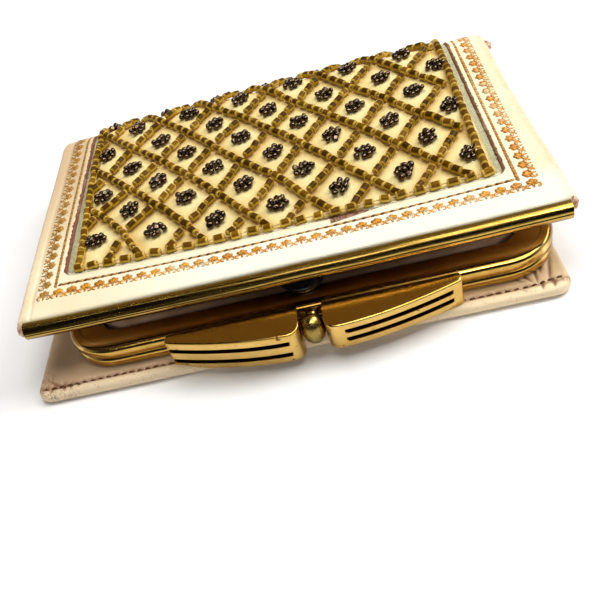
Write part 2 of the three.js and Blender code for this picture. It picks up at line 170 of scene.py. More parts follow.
class Growth:  # a geometry tree with named inputs
    def __init__(self, name, inputs):
        self.tree = bpy.data.node_groups.new(name, "GeometryNodeTree")
        face = self.tree.interface
        face.new_socket("Geometry", in_out="INPUT", socket_type="NodeSocketGeometry")
        face.new_socket("Geometry", in_out="OUTPUT", socket_type="NodeSocketGeometry")
        self.keys = {}
        for label, kind in inputs.items():
            socket = face.new_socket(label, in_out="INPUT", socket_type="NodeSocket" + kind)
            self.keys[label] = socket.identifier
        self.entry = self.tree.nodes.new("NodeGroupInput")
        self.add = Term(self.tree).add

    def given(self, label):
        return Term(self.tree, self.entry.outputs[label])

    def jitter(self, low, high, seed, kind="FLOAT"):
        plan = {"FLOAT": (2, 3, 1), "FLOAT_VECTOR": (0, 1, 0)}[kind]  # sockets for low, high and result
        sockets = {plan[0]: low, plan[1]: high, "Seed": seed}
        return self.add("FunctionNodeRandomValue", {"data_type": kind}, sockets, out=plan[2])

    def sway(self, reach, seed):  # a random vector, up to its reach either way
        back = self.add("ShaderNodeVectorMath", {"operation": "SCALE"}, {0: reach, "Scale": -1.0})
        return self.jitter(back, reach, seed, "FLOAT_VECTOR")

    def shape(self, label):  # the mesh of a given object
        return self.add("GeometryNodeObjectInfo", None, {"Object": self.given(label)}, out="Geometry")

    def kept(self, name):  # a number kept on the points of the source
        return self.add("GeometryNodeInputNamedAttribute", {"data_type": "FLOAT"}, {"Name": name})

    def store(self, geometry, domain, name, value):  # a number kept for the paint
        settings = {"data_type": "FLOAT", "domain": domain}
        sockets = {"Geometry": geometry, "Name": name, "Value": value}
        return self.add("GeometryNodeStoreNamedAttribute", settings, sockets)

    def curve(self):  # the edges of the source
        return self.add("GeometryNodeMeshToCurve", None, {0: self.given("Geometry")})

    def along(self, pitch):  # points a pitch apart on the edges, and the turn of each to the way it travels
        sockets = {"Curve": self.curve(), "Length": pitch}
        points = self.add("GeometryNodeResampleCurve", {"mode": "LENGTH"}, sockets)
        tangent = self.add("GeometryNodeInputTangent")
        ahead = [self.add("ShaderNodeSeparateXYZ", None, {0: tangent}, out=axis) for axis in (0, 1)]
        turn = self.add("ShaderNodeCombineXYZ", None, {2: ahead[1].math("ARCTAN2", ahead[0])})
        return points, turn

    def copies(self, points, shape, turn, size=(1, 1, 1)):  # a shape set on points
        sockets = {"Points": points, "Instance": shape, "Rotation": turn, "Scale": size}
        return self.add("GeometryNodeInstanceOnPoints", None, sockets)

    def close(self, geometry):  # every tree ends in real, painted geometry
        real = self.add("GeometryNodeRealizeInstances", None, {0: geometry})
        dyed = self.add("GeometryNodeSetMaterial", None, {"Geometry": real, "Material": self.given("Paint")})
        outlet = self.tree.nodes.new("NodeGroupOutput")
        self.tree.links.new(dyed.socket, outlet.inputs[0])

    def run(self, source, values):  # the grown result of a source mesh, as a plain mesh
        carrier = bpy.data.objects.new("carrier", source)
        intoScene(carrier)
        modifier = carrier.modifiers.new("growth", "NODES")
        modifier.node_group = self.tree
        for label, value in values.items():
            modifier[self.keys[label]] = value
        graph = bpy.context.evaluated_depsgraph_get()
        result = bpy.data.meshes.new_from_object(
            carrier.evaluated_get(graph), preserve_all_data_layers=True, depsgraph=graph)
        carrier.modifiers.remove(modifier)
        bpy.data.objects.remove(carrier)
        return result


# Meshes from arrays, in millimetres until a piece is finished

def intoScene(thing):
    bpy.context.scene.collection.objects.link(thing)


def rowsOf(*columns):  # arrays side by side, one row for each place
    return np.stack(columns, -1).reshape(-1, len(columns))


def gridQuads(rows, columns, first=0, ring=False, flip=False):
    last = columns if ring else columns - 1
    row, column = np.meshgrid(np.arange(rows - 1), np.arange(last), indexing="ij")
    here = first + row * columns + column
    beside = first + row * columns + (column + 1) % columns
    quads = rowsOf(here, beside, beside + columns, here + columns)
    return quads[:, ::-1] if flip else quads


def tubeFaces(rows, around):  # quads row to row round a tube, with a cap at each end
    quads = gridQuads(rows, around, ring=True)
    return [*quads, range(around), range((rows - 1) * around, rows * around)]


def meshOf(name, points, faces, edges=()):
    mesh = bpy.data.meshes.new(name)
    mesh.from_pydata(np.asarray(points, float).tolist(), edges, [list(map(int, face)) for face in faces])
    mesh.update()
    return mesh


def keep(mesh, name, values, kind="FLOAT"):  # a value on every point
    layer = mesh.attributes.new(name, kind, "POINT")
    field = "vector" if kind == "FLOAT_VECTOR" else "value"
    layer.data.foreach_set(field, np.asarray(values, np.float32).ravel())


def weld(mesh, gap=0.002, outward=False):  # joins shared points and closes seams
    work = bmesh.new()
    work.from_mesh(mesh)
    bmesh.ops.remove_doubles(work, verts=work.verts, dist=gap)
    bmesh.ops.dissolve_degenerate(work, edges=work.edges, dist=gap / 2)
    if outward:
        bmesh.ops.recalc_face_normals(work, faces=work.faces)
    work.to_mesh(mesh)
    work.free()
    return mesh


def joined(name, meshes):  # several meshes as one
    work = bmesh.new()
    for mesh in meshes:
        work.from_mesh(mesh)
    whole = bpy.data.meshes.new(name)
    work.to_mesh(whole)
    work.free()
    return whole


def pointsOf(mesh):
    flat = np.empty(len(mesh.vertices) * 3)
    mesh.vertices.foreach_get("co", flat)
    return flat.reshape(-1, 3)


def movePoints(mesh, points):
    mesh.vertices.foreach_set("co", np.asarray(points, float).ravel())
    mesh.update()


def loosePart(name, mesh):  # an unseen object for a growth to copy
    part = bpy.data.objects.new(name, mesh)
    mesh.shade_smooth()
    return part


def piece(name, mesh, materials, nodes=(), sharp=None):  # a finished mesh becomes a piece of the purse
    movePoints(mesh, pointsOf(mesh) * mm)
    if materials:
        mesh.materials.clear()
        for paint in materials:
            mesh.materials.append(paint.material)
    mesh.shade_smooth()
    if sharp:
        mesh.set_sharp_from_angle(angle=math.radians(sharp))
    made = bpy.data.objects.new(name, mesh)
    intoScene(made)
    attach(made, "root")
    if nodes:
        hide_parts(*nodes)
    print("piece", name, len(mesh.polygons), "faces")
    return made


def stations(start, *spans):  # places from start through spans of (end, step)
    places = [start]
    for end, step in spans:
        count = max(1, round((end - places[-1]) / step))
        places.extend(np.linspace(places[-1], end, count + 1)[1:])
    return np.array(places)


def smooth(value, low, high):
    share = np.clip((value - low) / (high - low), 0, 1)
    return share * share * (3 - 2 * share)


def hump(value, width):  # 1 at 0, falling to 0 either side
    return np.exp(-(value / width) ** 2)


def spin(profile, sides, ring=False):  # (radius, height) pairs turned about Z, capped unless they close
    turns = np.arange(sides) / sides * 2 * math.pi
    profile = np.asarray(profile, float)
    radius, height = profile[:, :1], profile[:, 1:]
    points = rowsOf(radius * np.cos(turns), radius * np.sin(turns), height * np.ones(sides))
    if not ring:
        return points, tubeFaces(len(profile), sides)
    here = np.arange(sides)
    ahead = (here + 1) % sides
    back = (len(profile) - 1) * sides
    closing = rowsOf(back + here, back + ahead, ahead, here)
    return points, [*gridQuads(len(profile), sides, ring=True), *closing]


def ballProfile(rings, pole, egg=0.0):  # (radius, height) pairs of a ball, fuller at its top by the egg
    turns = np.linspace(pole, math.pi - pole, rings)
    return np.stack([np.sin(turns) * (1 + egg * np.cos(turns)), np.cos(turns)], -1)


def arc(y, z, radius, start, end, steps):  # (y, z) points, angles in degrees
    turn = np.radians(np.linspace(start, end, steps))
    return np.stack([y + radius * np.cos(turn), z + radius * np.sin(turn)], -1)


def tube(rings, marks=None):  # rows of points round a piece, joined row to row, with end caps
    rings = np.asarray(rings, float)
    mesh = meshOf("tube", rings.reshape(-1, 3), tubeFaces(*rings.shape[:2]))
    if marks is not None:
        keep(mesh, "groove", marks)
    return weld(mesh, outward=True)


def fray(points, amount, seed):  # small seeded disorder
    return points + np.random.default_rng(seed).normal(0, amount, points.shape)


def leftOf(line):  # unit vectors to the left of a flat line
    ahead = np.gradient(line, axis=0)
    ahead /= np.linalg.norm(ahead, axis=1)[:, None]
    return np.stack([-ahead[:, 1], ahead[:, 0]], -1)


def roundedPath(halfWidth, front, rear, radius, steps=6):  # a U open at the rear, front corners rounded
    corner = np.linspace(0, math.pi / 2, steps)
    leftX = -halfWidth + radius - radius * np.cos(corner)
    left = np.stack([leftX, front + radius - radius * np.sin(corner)], -1)
    right = left[::-1] * (-1, 1)
    return np.vstack([[-halfWidth, rear], left, right, [halfWidth, rear]])


def resampled(path, step):  # even steps along a polyline
    lengths = np.r_[0, np.cumsum(np.linalg.norm(np.diff(path, axis=0), axis=1))]
    places = np.linspace(0, lengths[-1], max(2, round(lengths[-1] / step)) + 1)
    return np.stack([np.interp(places, lengths, path[:, axis]) for axis in range(path.shape[1])], -1)


def lineMesh(name, runs):  # polylines as loose edges for a growth
    points, edges = [], []
    for run in runs:
        first = len(points)
        points.extend(run)
        edges.extend((first + step, first + step + 1) for step in range(len(run) - 1))
    return meshOf(name, points, (), edges)


# The wrap: distance runs back over the cover, round the spine and forward under the purse

caseLow, caseHigh = (np.array(corner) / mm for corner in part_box("leather_case"))
wrapShape = {
    "flat": 61.5, "tilt": math.radians(3), "topRadius": 11.0, "lowRadius": 6.5, "wall": 2.2,
    "setback": 9.5,  # from the front edge of the lower panel to that of the cover
}
rowShift = caseLow[1] + wrapShape["setback"]  # the pieces at the front are measured from here
topY = caseHigh[1] - wrapShape["topRadius"]
topZ = caseHigh[2] - wrapShape["topRadius"]
lowY = caseHigh[1] - wrapShape["lowRadius"]
topArc = wrapShape["topRadius"] * (math.pi / 2 + wrapShape["tilt"])
lowArc = wrapShape["lowRadius"] * math.pi / 2
wrapLength = wrapShape["flat"] + topArc + lowArc + lowY - caseLow[1]
caseHalf = caseHigh[0]


def wrapPlace(distance, lift):  # (y, z) of a place on the outside of the leather
    flat, tilt = wrapShape["flat"], wrapShape["tilt"]
    pastFlat = distance - flat
    pastTop = pastFlat - topArc
    pastLow = pastTop - lowArc
    turn = math.pi / 2 + tilt - np.clip(pastFlat, 0, topArc) / wrapShape["topRadius"]
    dip = -np.clip(pastTop, 0, lowArc) / wrapShape["lowRadius"]
    ahead = np.minimum(pastFlat, 0)
    reach = wrapShape["topRadius"] + lift
    under = wrapShape["lowRadius"] + lift
    onTop = pastTop < 0
    y = np.where(onTop, topY + reach * np.cos(turn) + ahead * math.cos(tilt),
                 lowY + under * np.cos(dip) - np.maximum(pastLow, 0))
    z = np.where(onTop, topZ + reach * np.sin(turn) + ahead * math.sin(tilt),
                 wrapShape["lowRadius"] + under * np.sin(dip))
    return y, z


coverBow = {
    "window": 1.6, "peak": 12.0, "hold": 2.0, "reach": 34.0, "sag": 0.35, "sagReach": 30.0,
    "twist": 0.7, "twistIn": (15.0, 62.0), "twistOut": (78.0, 94.0),
}


def coverPlace(x, distance, lift):  # (y, z) on the cover, which sags and bows forward in its middle
    middle = np.clip(1 - (x / caseHalf) ** 2, 0, 1)
    start = coverBow["peak"] + coverBow["hold"]
    pull = smooth(distance, 0, coverBow["peak"]) * (1 - smooth(distance, start, start + coverBow["reach"]))
    y, z = wrapPlace(distance - coverBow["window"] * middle * pull, lift)
    sag = coverBow["sag"] * middle * (1 - smooth(distance, 0, coverBow["sagReach"]))
    twist = coverBow["twist"] * x / caseHalf * smooth(distance, *coverBow["twistIn"])
    return y, z - sag + twist * (1 - smooth(distance, *coverBow["twistOut"]))


def layOnCover(mesh):  # flat (x, distance, lift) points go to their place on the cover
    flat = pointsOf(mesh)
    y, z = coverPlace(flat[:, 0], flat[:, 1], flat[:, 2])
    movePoints(mesh, np.stack([flat[:, 0], y, z], -1))
    return mesh


def roundBox(x, y, halfX, front, rear, frontRadius, rearRadius):  # signed distance, negative inside
    middle = (front + rear) / 2
    radius = np.where(y < middle, frontRadius, rearRadius)
    outX = np.abs(x) - halfX + radius
    outY = np.abs(y - middle) - (rear - front) / 2 + radius
    outside = np.hypot(np.maximum(outX, 0), np.maximum(outY, 0))
    return outside + np.minimum(np.maximum(outX, outY), 0) - radius


# Camera, floor and light

cameraSet = {
    "place": (0.0176, -0.13345, 0.1029),
    "look": (-0.1126, 0.7176, -0.6873),
    "up": (0.2136, 0.6930, 0.6886),
    "lens": 42.0, "sensor": 36.0, "near": 0.005,
}


def makeCamera():
    data = bpy.data.cameras.new("camera")
    data.lens = cameraSet["lens"]
    data.sensor_width = cameraSet["sensor"]
    data.clip_start = cameraSet["near"]
    data.dof.use_dof = False
    back = -Vector(cameraSet["look"]).normalized()
    right = Vector(cameraSet["up"]).cross(back).normalized()
    turn = Matrix((right, back.cross(right), back)).transposed()
    camera = bpy.data.objects.new("camera", data)
    camera.matrix_world = Matrix.Translation(cameraSet["place"]) @ turn.to_4x4()
    intoScene(camera)
    bpy.context.scene.camera = camera


lightSet = [
    {"name": "overhead", "place": (0.05, 0.24, 0.85), "aim": (0, 0, 0),
     "size": 0.70, "power": 7.4, "mirrored": False},
    {"name": "window", "place": (0.52, 0.20, 0.52), "aim": (0, 0, 0),
     "size": 0.36, "power": 3.4, "mirrored": True},
    {"name": "fill", "place": (0.05, -0.70, 0.22), "aim": (0, 0, 0.01),
     "size": 0.50, "power": 1.3, "mirrored": False},
]


def makeLamps():
    for row in lightSet:
        data = bpy.data.lights.new(row["name"], "AREA")
        data.energy = row["power"]
        data.size = row["size"]
        lamp = bpy.data.objects.new(row["name"], data)
        lamp.visible_glossy = row["mirrored"]
        lamp.location = row["place"]
        aim = Vector(row["aim"]) - Vector(row["place"])
        lamp.rotation_euler = aim.to_track_quat("-Z", "Y").to_euler()
        intoScene(lamp)


skySet = {
    "side": (0.45, 0.45, 0.45), "back": (0.20, 0.13, 0.05), "dark": (0.03, 0.03, 0.03),
    "ceiling": (3.20, 3.10, 2.70), "spot": (26.0, 26.0, 25.0),
}
skyBands = {  # where each glow sets in, by the direction's share to the right, to the back and up
    "backStart": (0.05, 0.35), "topStart": (0.40, 0.62),
    "viewerEnd": (-0.60, -0.20), "viewerLow": (-0.10, 0.0),
    "ceilingFront": (-0.58, -0.48), "ceilingRear": (-0.12, 0.0), "ceilingSlant": 1.2,
    "ceilingLow": (0.60, 0.75),
    "spotFront": (-0.46, -0.42), "spotRear": (-0.36, -0.32), "spotLow": (0.80, 0.84),
    "spotLeft": (-0.16, -0.10), "spotRight": (0.24, 0.30),
}


def makeSky():
    world = bpy.data.worlds.new("studio")
    world.use_nodes = True
    bpy.context.scene.world = world
    tree = world.node_tree
    start = Term(tree)
    direction = start.add("ShaderNodeTexCoord", out=0)
    across, ahead, height = (
        start.add("ShaderNodeSeparateXYZ", None, {0: direction}, out=axis) for axis in range(3))
    tones = {name: (*glow, 1.0) for name, glow in skySet.items()}

    def past(share, band):
        return share.between(*skyBands[band])

    overhead = past(ahead, "backStart").blend(tones["dark"], tones["back"])
    sky = past(height, "topStart").blend(tones["side"], overhead)
    viewer = (1 - past(ahead, "viewerEnd")) * past(height, "viewerLow")  # the dark side with the camera
    sky = viewer.blend(sky, tones["dark"])
    mirrored = start.add("ShaderNodeLightPath", out="Is Glossy Ray")  # what follows only shows in reflections
    slanted = ahead - skyBands["ceilingSlant"] * across
    ceiling = past(ahead, "ceilingFront") * (1 - past(slanted, "ceilingRear")) * past(height, "ceilingLow")
    sky = (ceiling * mirrored).blend(sky, tones["ceiling"])
    spot = past(ahead, "spotFront") * (1 - past(ahead, "spotRear")) * past(height, "spotLow")
    spot = spot * past(across, "spotLeft") * (1 - past(across, "spotRight"))
    sky = (spot * mirrored).blend(sky, tones["spot"])
    tree.links.new(sky.socket, tree.nodes["Background"].inputs[0])
    bpy.context.scene.view_settings.view_transform = "Standard"


floorSet = {"half": 3.0, "tone": (0.92, 0.92, 0.92, 1.0), "rough": 0.45}


def makeFloor():
    half = floorSet["half"]
    corners = [(-half, -half, 0), (half, -half, 0), (half, half, 0), (-half, half, 0)]
    mesh = meshOf("floor", corners, [range(4)])
    table = Paint("white_table", color=floorSet["tone"], roughness=floorSet["rough"])
    mesh.materials.append(table.material)
    floor = bpy.data.objects.new("floor", mesh)
    intoScene(floor)


makeCamera()
makeLamps()
makeSky()
makeFloor()
print("camera, light and floor set")


# Finishes

windowTear = {"left": 10.7, "right": 25.5, "front": 12.0, "slope": 0.142}  # bare wedge before the window


def creamLeather():
    paint = Paint("cream_leather", coat=0.25, coatRough=0.32)
    place = paint.place()
    across, back, inset = paint.parts(paint.flat())
    cloud = paint.noise(place, 0.11, 4)
    fleck = paint.noise(place, 1.3, 3)
    base = cloud.between(0.35, 0.7).blend(tone(238, 229, 196), tone(232, 218, 180))
    frontSheen = (1 - back.between(6.0, 14.0)) * across.between(-52.0, -10.0)  # painted sheen along the front edge
    base = (frontSheen * 0.8).blend(base, tone(247, 243, 226))
    base = ((1 - across.between(-56.0, -46.0)) * 0.2).blend(base, tone(234, 214, 176))
    leftBrowning = (1 - across.between(-50.0, -44.0)) * back.between(8.0, 52.0)  # browner down the left margin
    base = (leftBrowning * 0.85).blend(base, tone(198, 168, 128))
    edge = (1 - inset.between(0.3, 2.6)) * fleck.between(0.25, 0.6)
    base = (edge * 0.6 * abs(across).between(53.0, 54.5)).blend(base, tone(214, 180, 144))
    # painted shade along the seam groove down the left side
    seam = (1 - abs(inset - 2.9).between(0.1, 0.5)) * cloud.between(0.3, 0.6) * back.between(3.5, 6.0)
    base = (seam * 0.5 * (1 - across.between(-40.0, -30.0))).blend(base, tone(202, 162, 124))
    ahead = windowTear["front"] - back
    tear = across.between(windowTear["left"], windowTear["left"] + 0.6) * ahead.between(-0.6, -0.2)
    tear = tear * ((windowTear["right"] - across) * windowTear["slope"] - ahead).between(0.0, 0.3)
    bare = fleck.between(0.4, 0.6).blend(tone(92, 56, 38), tone(156, 116, 94))
    base = (tear * fleck.between(0.2, 0.4)).blend(base, bare)
    paint.set("color", base)
    paint.set("roughness", 0.36 + 0.2 * fleck + 0.1 * edge)
    paint.bump(paint.cells(place, 2.3) + 0.7 * fleck, 0.35, 0.05)
    return paint


def blushLeather():
    paint = Paint("blush_leather", coat=0.12, coatRough=0.4)
    place = paint.place()
    across, back, inset = paint.parts(paint.flat())
    ahead = wrapLength - back
    cloud = paint.noise(place, 0.16, 4)
    fleck = paint.noise(place, 1.7, 4)
    base = cloud.between(0.3, 0.7).blend(tone(212, 182, 146), tone(196, 164, 128))
    # painted light: lighter towards the right, the left lying in the cover's shade
    base = (across.between(10.0, 50.0) * 0.6).blend(base, tone(226, 194, 146))
    lip = 1 - ahead.between(1.2, 2.4)
    # painted light: the forward-facing lip is paler, and lighter still towards the right
    pale = across.between(0.0, 40.0).blend(tone(232, 210, 174), tone(250, 228, 188))
    base = (lip * 0.85).blend(base, pale)
    scuff = lip * fleck.between(0.58, 0.72)
    base = (scuff * 0.5).blend(base, tone(172, 130, 92))
    stain = (1 - abs(ahead - 2.5).between(0.15, 0.9)) * fleck.between(0.3, 0.6)  # along the stitches
    base = (stain * 0.7).blend(base, tone(120, 78, 50))
    line = 1 - abs(paint.noise(place, 0.5, 3, 0.6) - 0.5).between(0.005, 0.03)
    crack = (1 - across.between(-51.0, -44.0)) * (1 - inset.between(2.0, 4.5)) * line
    crack = crack * (1 - ahead.between(4.0, 9.0))  # at the left front corner only
    base = (crack * 0.7).blend(base, tone(104, 66, 44))
    # painted shade in the creases
    base = (paint.value("crease").between(0.1, 0.4) * 0.8).blend(base, tone(134, 90, 60))
    paint.set("color", base)
    paint.set("roughness", 0.42 + 0.2 * fleck)
    paint.bump(paint.cells(place, 1.9) + fleck, 0.4, 0.06)
    return paint


def cutLeather():
    paint = Paint("cut_leather")
    place = paint.place()
    across = paint.split(place, 0)
    fibre = paint.noise(place, 2.4, 5, 0.7)
    streak = paint.noise(place, 0.35, 3)
    right = across.between(-20.0, 20.0)
    dark = right.blend(tone(96, 54, 36), tone(82, 54, 36))
    light = right.blend(tone(140, 86, 60), tone(126, 90, 62))
    base = fibre.between(0.3, 0.7).blend(dark, light)
    base = (streak.between(0.55, 0.75) * 0.35).blend(base, tone(200, 166, 128))
    front = 1 - abs(across).between(45.6, 46.6)  # the front run is pale, but for one worn patch
    patch = abs(across - 14.0).between(3.5, 6.0)
    pale = fibre.blend(tone(196, 184, 140), tone(250, 244, 220))
    paint.set("color", (front * patch).blend(base, pale))
    paint.set("roughness", 0.7 + 0.2 * fibre)
    paint.bump(fibre, 0.7, 0.12)
    return paint


def panelCloth():
    paint = Paint("panel_cloth", sheen=0.2, sheenRough=0.5)
    flat = paint.flat()
    across = paint.split(flat, 0)
    inset = paint.split(flat, 2)
    warp = paint.wave(flat, 0.9, "X", 0.4)
    weft = paint.wave(flat, 0.9, "Y", 0.4)
    cloud = paint.noise(flat, 0.12, 4)
    fuzz = paint.noise(flat, 2.1, 3)
    base = cloud.between(0.3, 0.7).blend(tone(238, 224, 164), tone(230, 207, 138))
    base = ((warp * weft) * 0.3).blend(base, tone(222, 192, 120))
    # painted shade and bead-coloured reflection on the cloth near the strings
    base = ((1 - paint.value("string").between(0.4, 2.8)) * 0.7).blend(base, tone(200, 158, 72))
    margin = (1 - inset.between(1.2, 2.0)) * abs(across).between(42.0, 43.5)
    strip = fuzz.between(0.35, 0.65).blend(tone(150, 146, 110), tone(186, 180, 142))
    paint.set("color", margin.blend(base, strip))
    paint.set("roughness", 0.62 + 0.25 * fuzz)
    paint.bump(warp + weft + 0.6 * fuzz, 0.35, 0.07)
    return paint


def amberBead():
    paint = Paint("amber_bead", coat=0.03, coatRough=0.08, specular=0.05)
    crown = paint.value("crown")
    tint = paint.value("tint")
    along = paint.value("along")
    swirl = paint.noise(paint.place(), 1.1, 2)
    # painted light: each bead is dark on its upward faces, golden on its sides and paler at its ends,
    # standing in for the shaded hole and the light seen through the glass
    core = tint.blend(tone(66, 38, 0), tone(134, 92, 12))
    rim = tint.blend(tone(176, 140, 32), tone(236, 202, 98))
    inner = crown.between(0.08, 0.5) * (1 - along.between(0.58, 0.86)) * (0.8 + 0.4 * swirl).atMost(1.0)
    glass = (along.between(0.84, 0.98) * 0.7).blend(rim, tone(220, 186, 96))
    paint.set("color", inner.blend(glass, core))
    paint.set("roughness", 0.18 + 0.12 * swirl)
    return paint


def darkBead():
    paint = Paint("dark_bead", coat=0.6, coatRough=0.05, metallic=1.0)
    speck = paint.noise(paint.place(), 1.6, 3)
    paint.set("color", speck.between(0.3, 0.75).blend(tone(104, 80, 54), tone(50, 36, 22)))
    paint.set("roughness", 0.10 + 0.14 * speck)
    return paint


def giltFoil(name, light, dark, shaded=False):
    paint = Paint(name)
    place = paint.place()
    across = paint.split(place, 0)
    wear = paint.noise(place, 0.55, 5, 0.65)
    patch = paint.noise(place, 0.07, 2)
    worn = (wear + 0.5 * patch + 0.07 * across.between(-30.0, 30.0)).between(0.80, 1.0) * 0.6
    gold = wear.between(0.35, 0.6).blend(light, dark)
    gold = ((1 - across.between(-50.0, -47.0)) * 0.75).blend(gold, tone(164, 122, 58))
    gold = (across.between(46.5, 48.5) * 0.6).blend(gold, tone(190, 122, 50))
    gold = worn.blend(gold, tone(236, 214, 160))
    if shaded:  # the dark half of each turn of the rope
        side = abs(across).between(47.2, 48.0)
        gold = (paint.value("shade") * (1 - 0.65 * side)).blend(gold, tone(98, 62, 22))
    paint.set("color", gold)
    paint.set("metallic", 0.35 - 0.3 * worn)
    paint.set("roughness", 0.34 + 0.25 * wear)
    return paint


def goldMetal(name, light, dark, rough, scratch, grooved=False, under=None, paintedLightX=None):  # under: z of the bar's painted shade, then x of the jaw's painted shade beside the ball
    paint = Paint(name, metallic=1.0)
    place = paint.place()
    across, along, height = paint.parts(place)
    haze = paint.noise(place, 0.22, 4)
    fine = paint.noise(place, 3.0, 4, 0.7)
    brushed = paint.noise(paint.stretch(place, 0.25, 6.0, 6.0), 1.0, 4, 0.6)
    base = (haze.between(0.3, 0.7) * 0.6 + 0.3 * fine).blend(light, dark)
    if grooved:  # painted shade, browned on top and dark in the grooves; pitted as well
        base = (height.between(8.3, 8.5) * 0.6).blend(base, tone(190, 146, 66))
        base = paint.noise(place, 0.9, 2).between(0.70, 0.74).blend(base, tone(104, 70, 32))
        base = paint.value("groove").between(0.2, 0.6).blend(base, tone(20, 11, 6))
    if under:  # painted shade: duller below a level, darkened on the upper face below its crest to dim the highlight, and dark underneath
        base = (1 - height.between(under - 0.2, under + 0.1)).blend(base, tone(190, 154, 84))
        crest = height.between(under + 1.3, under + 1.45)
        worn = height.between(under + 0.6, under + 0.9) * (1 - 0.8 * crest)
        base = (worn * 0.9).blend(base, tone(66, 48, 20))
        base = (1 - height.between(under - 1.0, under - 0.65)).blend(base, tone(52, 34, 12))
    if paintedLightX:  # painted light: a painted highlight across the rim's rear and the flange's front, painted shade darkening the flange to its rear under the cover, and painted shade on the rim beside the ball
        back = along - rowShift
        base = (back.between(-3.4, -3.0) * (1 - back.between(-2.6, -1.4))).blend(base, tone(252, 214, 128))
        base = back.between(-2.2, 0.2).blend(base, tone(150, 110, 48))
        shadeBesideBall = (1 - abs(across - paintedLightX).between(2.2, 4.6)) * (1 - back.between(-3.6, -3.2))
        base = (shadeBesideBall * 0.85).blend(base, tone(84, 58, 22))
    paint.set("color", base)
    paint.set("roughness", rough + 0.16 * haze + 0.1 * fine)
    paint.bump(brushed + 0.4 * fine, scratch, 0.02)
    return paint


def tornLeather():
    paint = Paint("torn_leather")
    place = paint.place()
    fibre = paint.noise(place, 1.6, 5, 0.7)
    base = fibre.between(0.42, 0.6).blend(tone(232, 206, 172), tone(186, 128, 104))
    paint.set("color", fibre.between(0.62, 0.72).blend(base, tone(98, 60, 44)))
    paint.set("roughness", 0.65 + 0.25 * fibre)
    paint.bump(fibre, 0.9, 0.25)
    return paint


def pouchLeather():
    paint = Paint("pouch_leather", coat=0.2, coatRough=0.3)
    place = paint.place()
    cloud = paint.noise(place, 0.14, 4)
    fleck = paint.noise(place, 1.5, 4)
    base = cloud.between(0.3, 0.7).blend(tone(206, 172, 140), tone(178, 142, 110))
    base = (fleck.between(0.55, 0.8) * 0.4).blend(base, tone(222, 198, 174))
    # painted shade: darkened through the middle, in the shade under the cover
    shadeUnderCover = 1 - abs(paint.split(place, 0) - 4.0).between(8.0, 44.0)
    paint.set("color", (shadeUnderCover * 0.9).blend(base, tone(56, 32, 12)))
    paint.set("roughness", 0.38 + 0.22 * fleck)
    paint.bump(paint.cells(place, 1.7) + fleck, 0.35, 0.06)
    return paint


def blackEnamel():
    paint = Paint("black_enamel", coat=0.2, coatRough=0.08, specular=0.3)
    scuff = paint.noise(paint.place(), 1.2, 4)
    paint.set("color", scuff.between(0.55, 0.85).blend(tone(8, 8, 9), tone(30, 32, 36)))
    paint.set("roughness", 0.16 + 0.3 * scuff)
    return paint


def thread(name, light, dark):
    paint = Paint(name)
    place = paint.place()
    strand = paint.noise(paint.stretch(place, 1.0, 3.0, 3.0), 2.2, 3)
    paint.set("color", strand.between(0.3, 0.7).blend(light, dark))
    paint.set("roughness", 0.6 + 0.25 * strand)
    return paint


cream = creamLeather()
blush = blushLeather()
cutEdge = cutLeather()
torn = tornLeather()
cloth = panelCloth()
amber = amberBead()
hematite = darkBead()
gilt = giltFoil("gilt_foil", tone(234, 170, 52), tone(192, 124, 36))
giltBrown = giltFoil("gilt_brown", tone(222, 172, 78), tone(176, 122, 50), shaded=True)
barGold = goldMetal("bar_gold", tone(208, 178, 92), tone(172, 138, 58), 0.10, 0.3, under=13.0)
jawGold = goldMetal("jaw_gold", tone(212, 174, 92), tone(180, 138, 60), 0.04, 0.08, paintedLightX=3.75)
wingGold = goldMetal("wing_gold", tone(226, 188, 108), tone(200, 160, 84), 0.06, 0.06, grooved=True)
ballGold = goldMetal("ball_gold", tone(178, 156, 88), tone(136, 112, 56), 0.12, 0.15)
mauve = pouchLeather()
enamel = blackEnamel()
brownThread = thread("brown_thread", tone(112, 70, 44), tone(66, 38, 22))
paleThread = thread("pale_thread", tone(232, 208, 150), tone(196, 164, 98))
print("finishes mixed")


# Leather wrap of cover, spine and lower panel

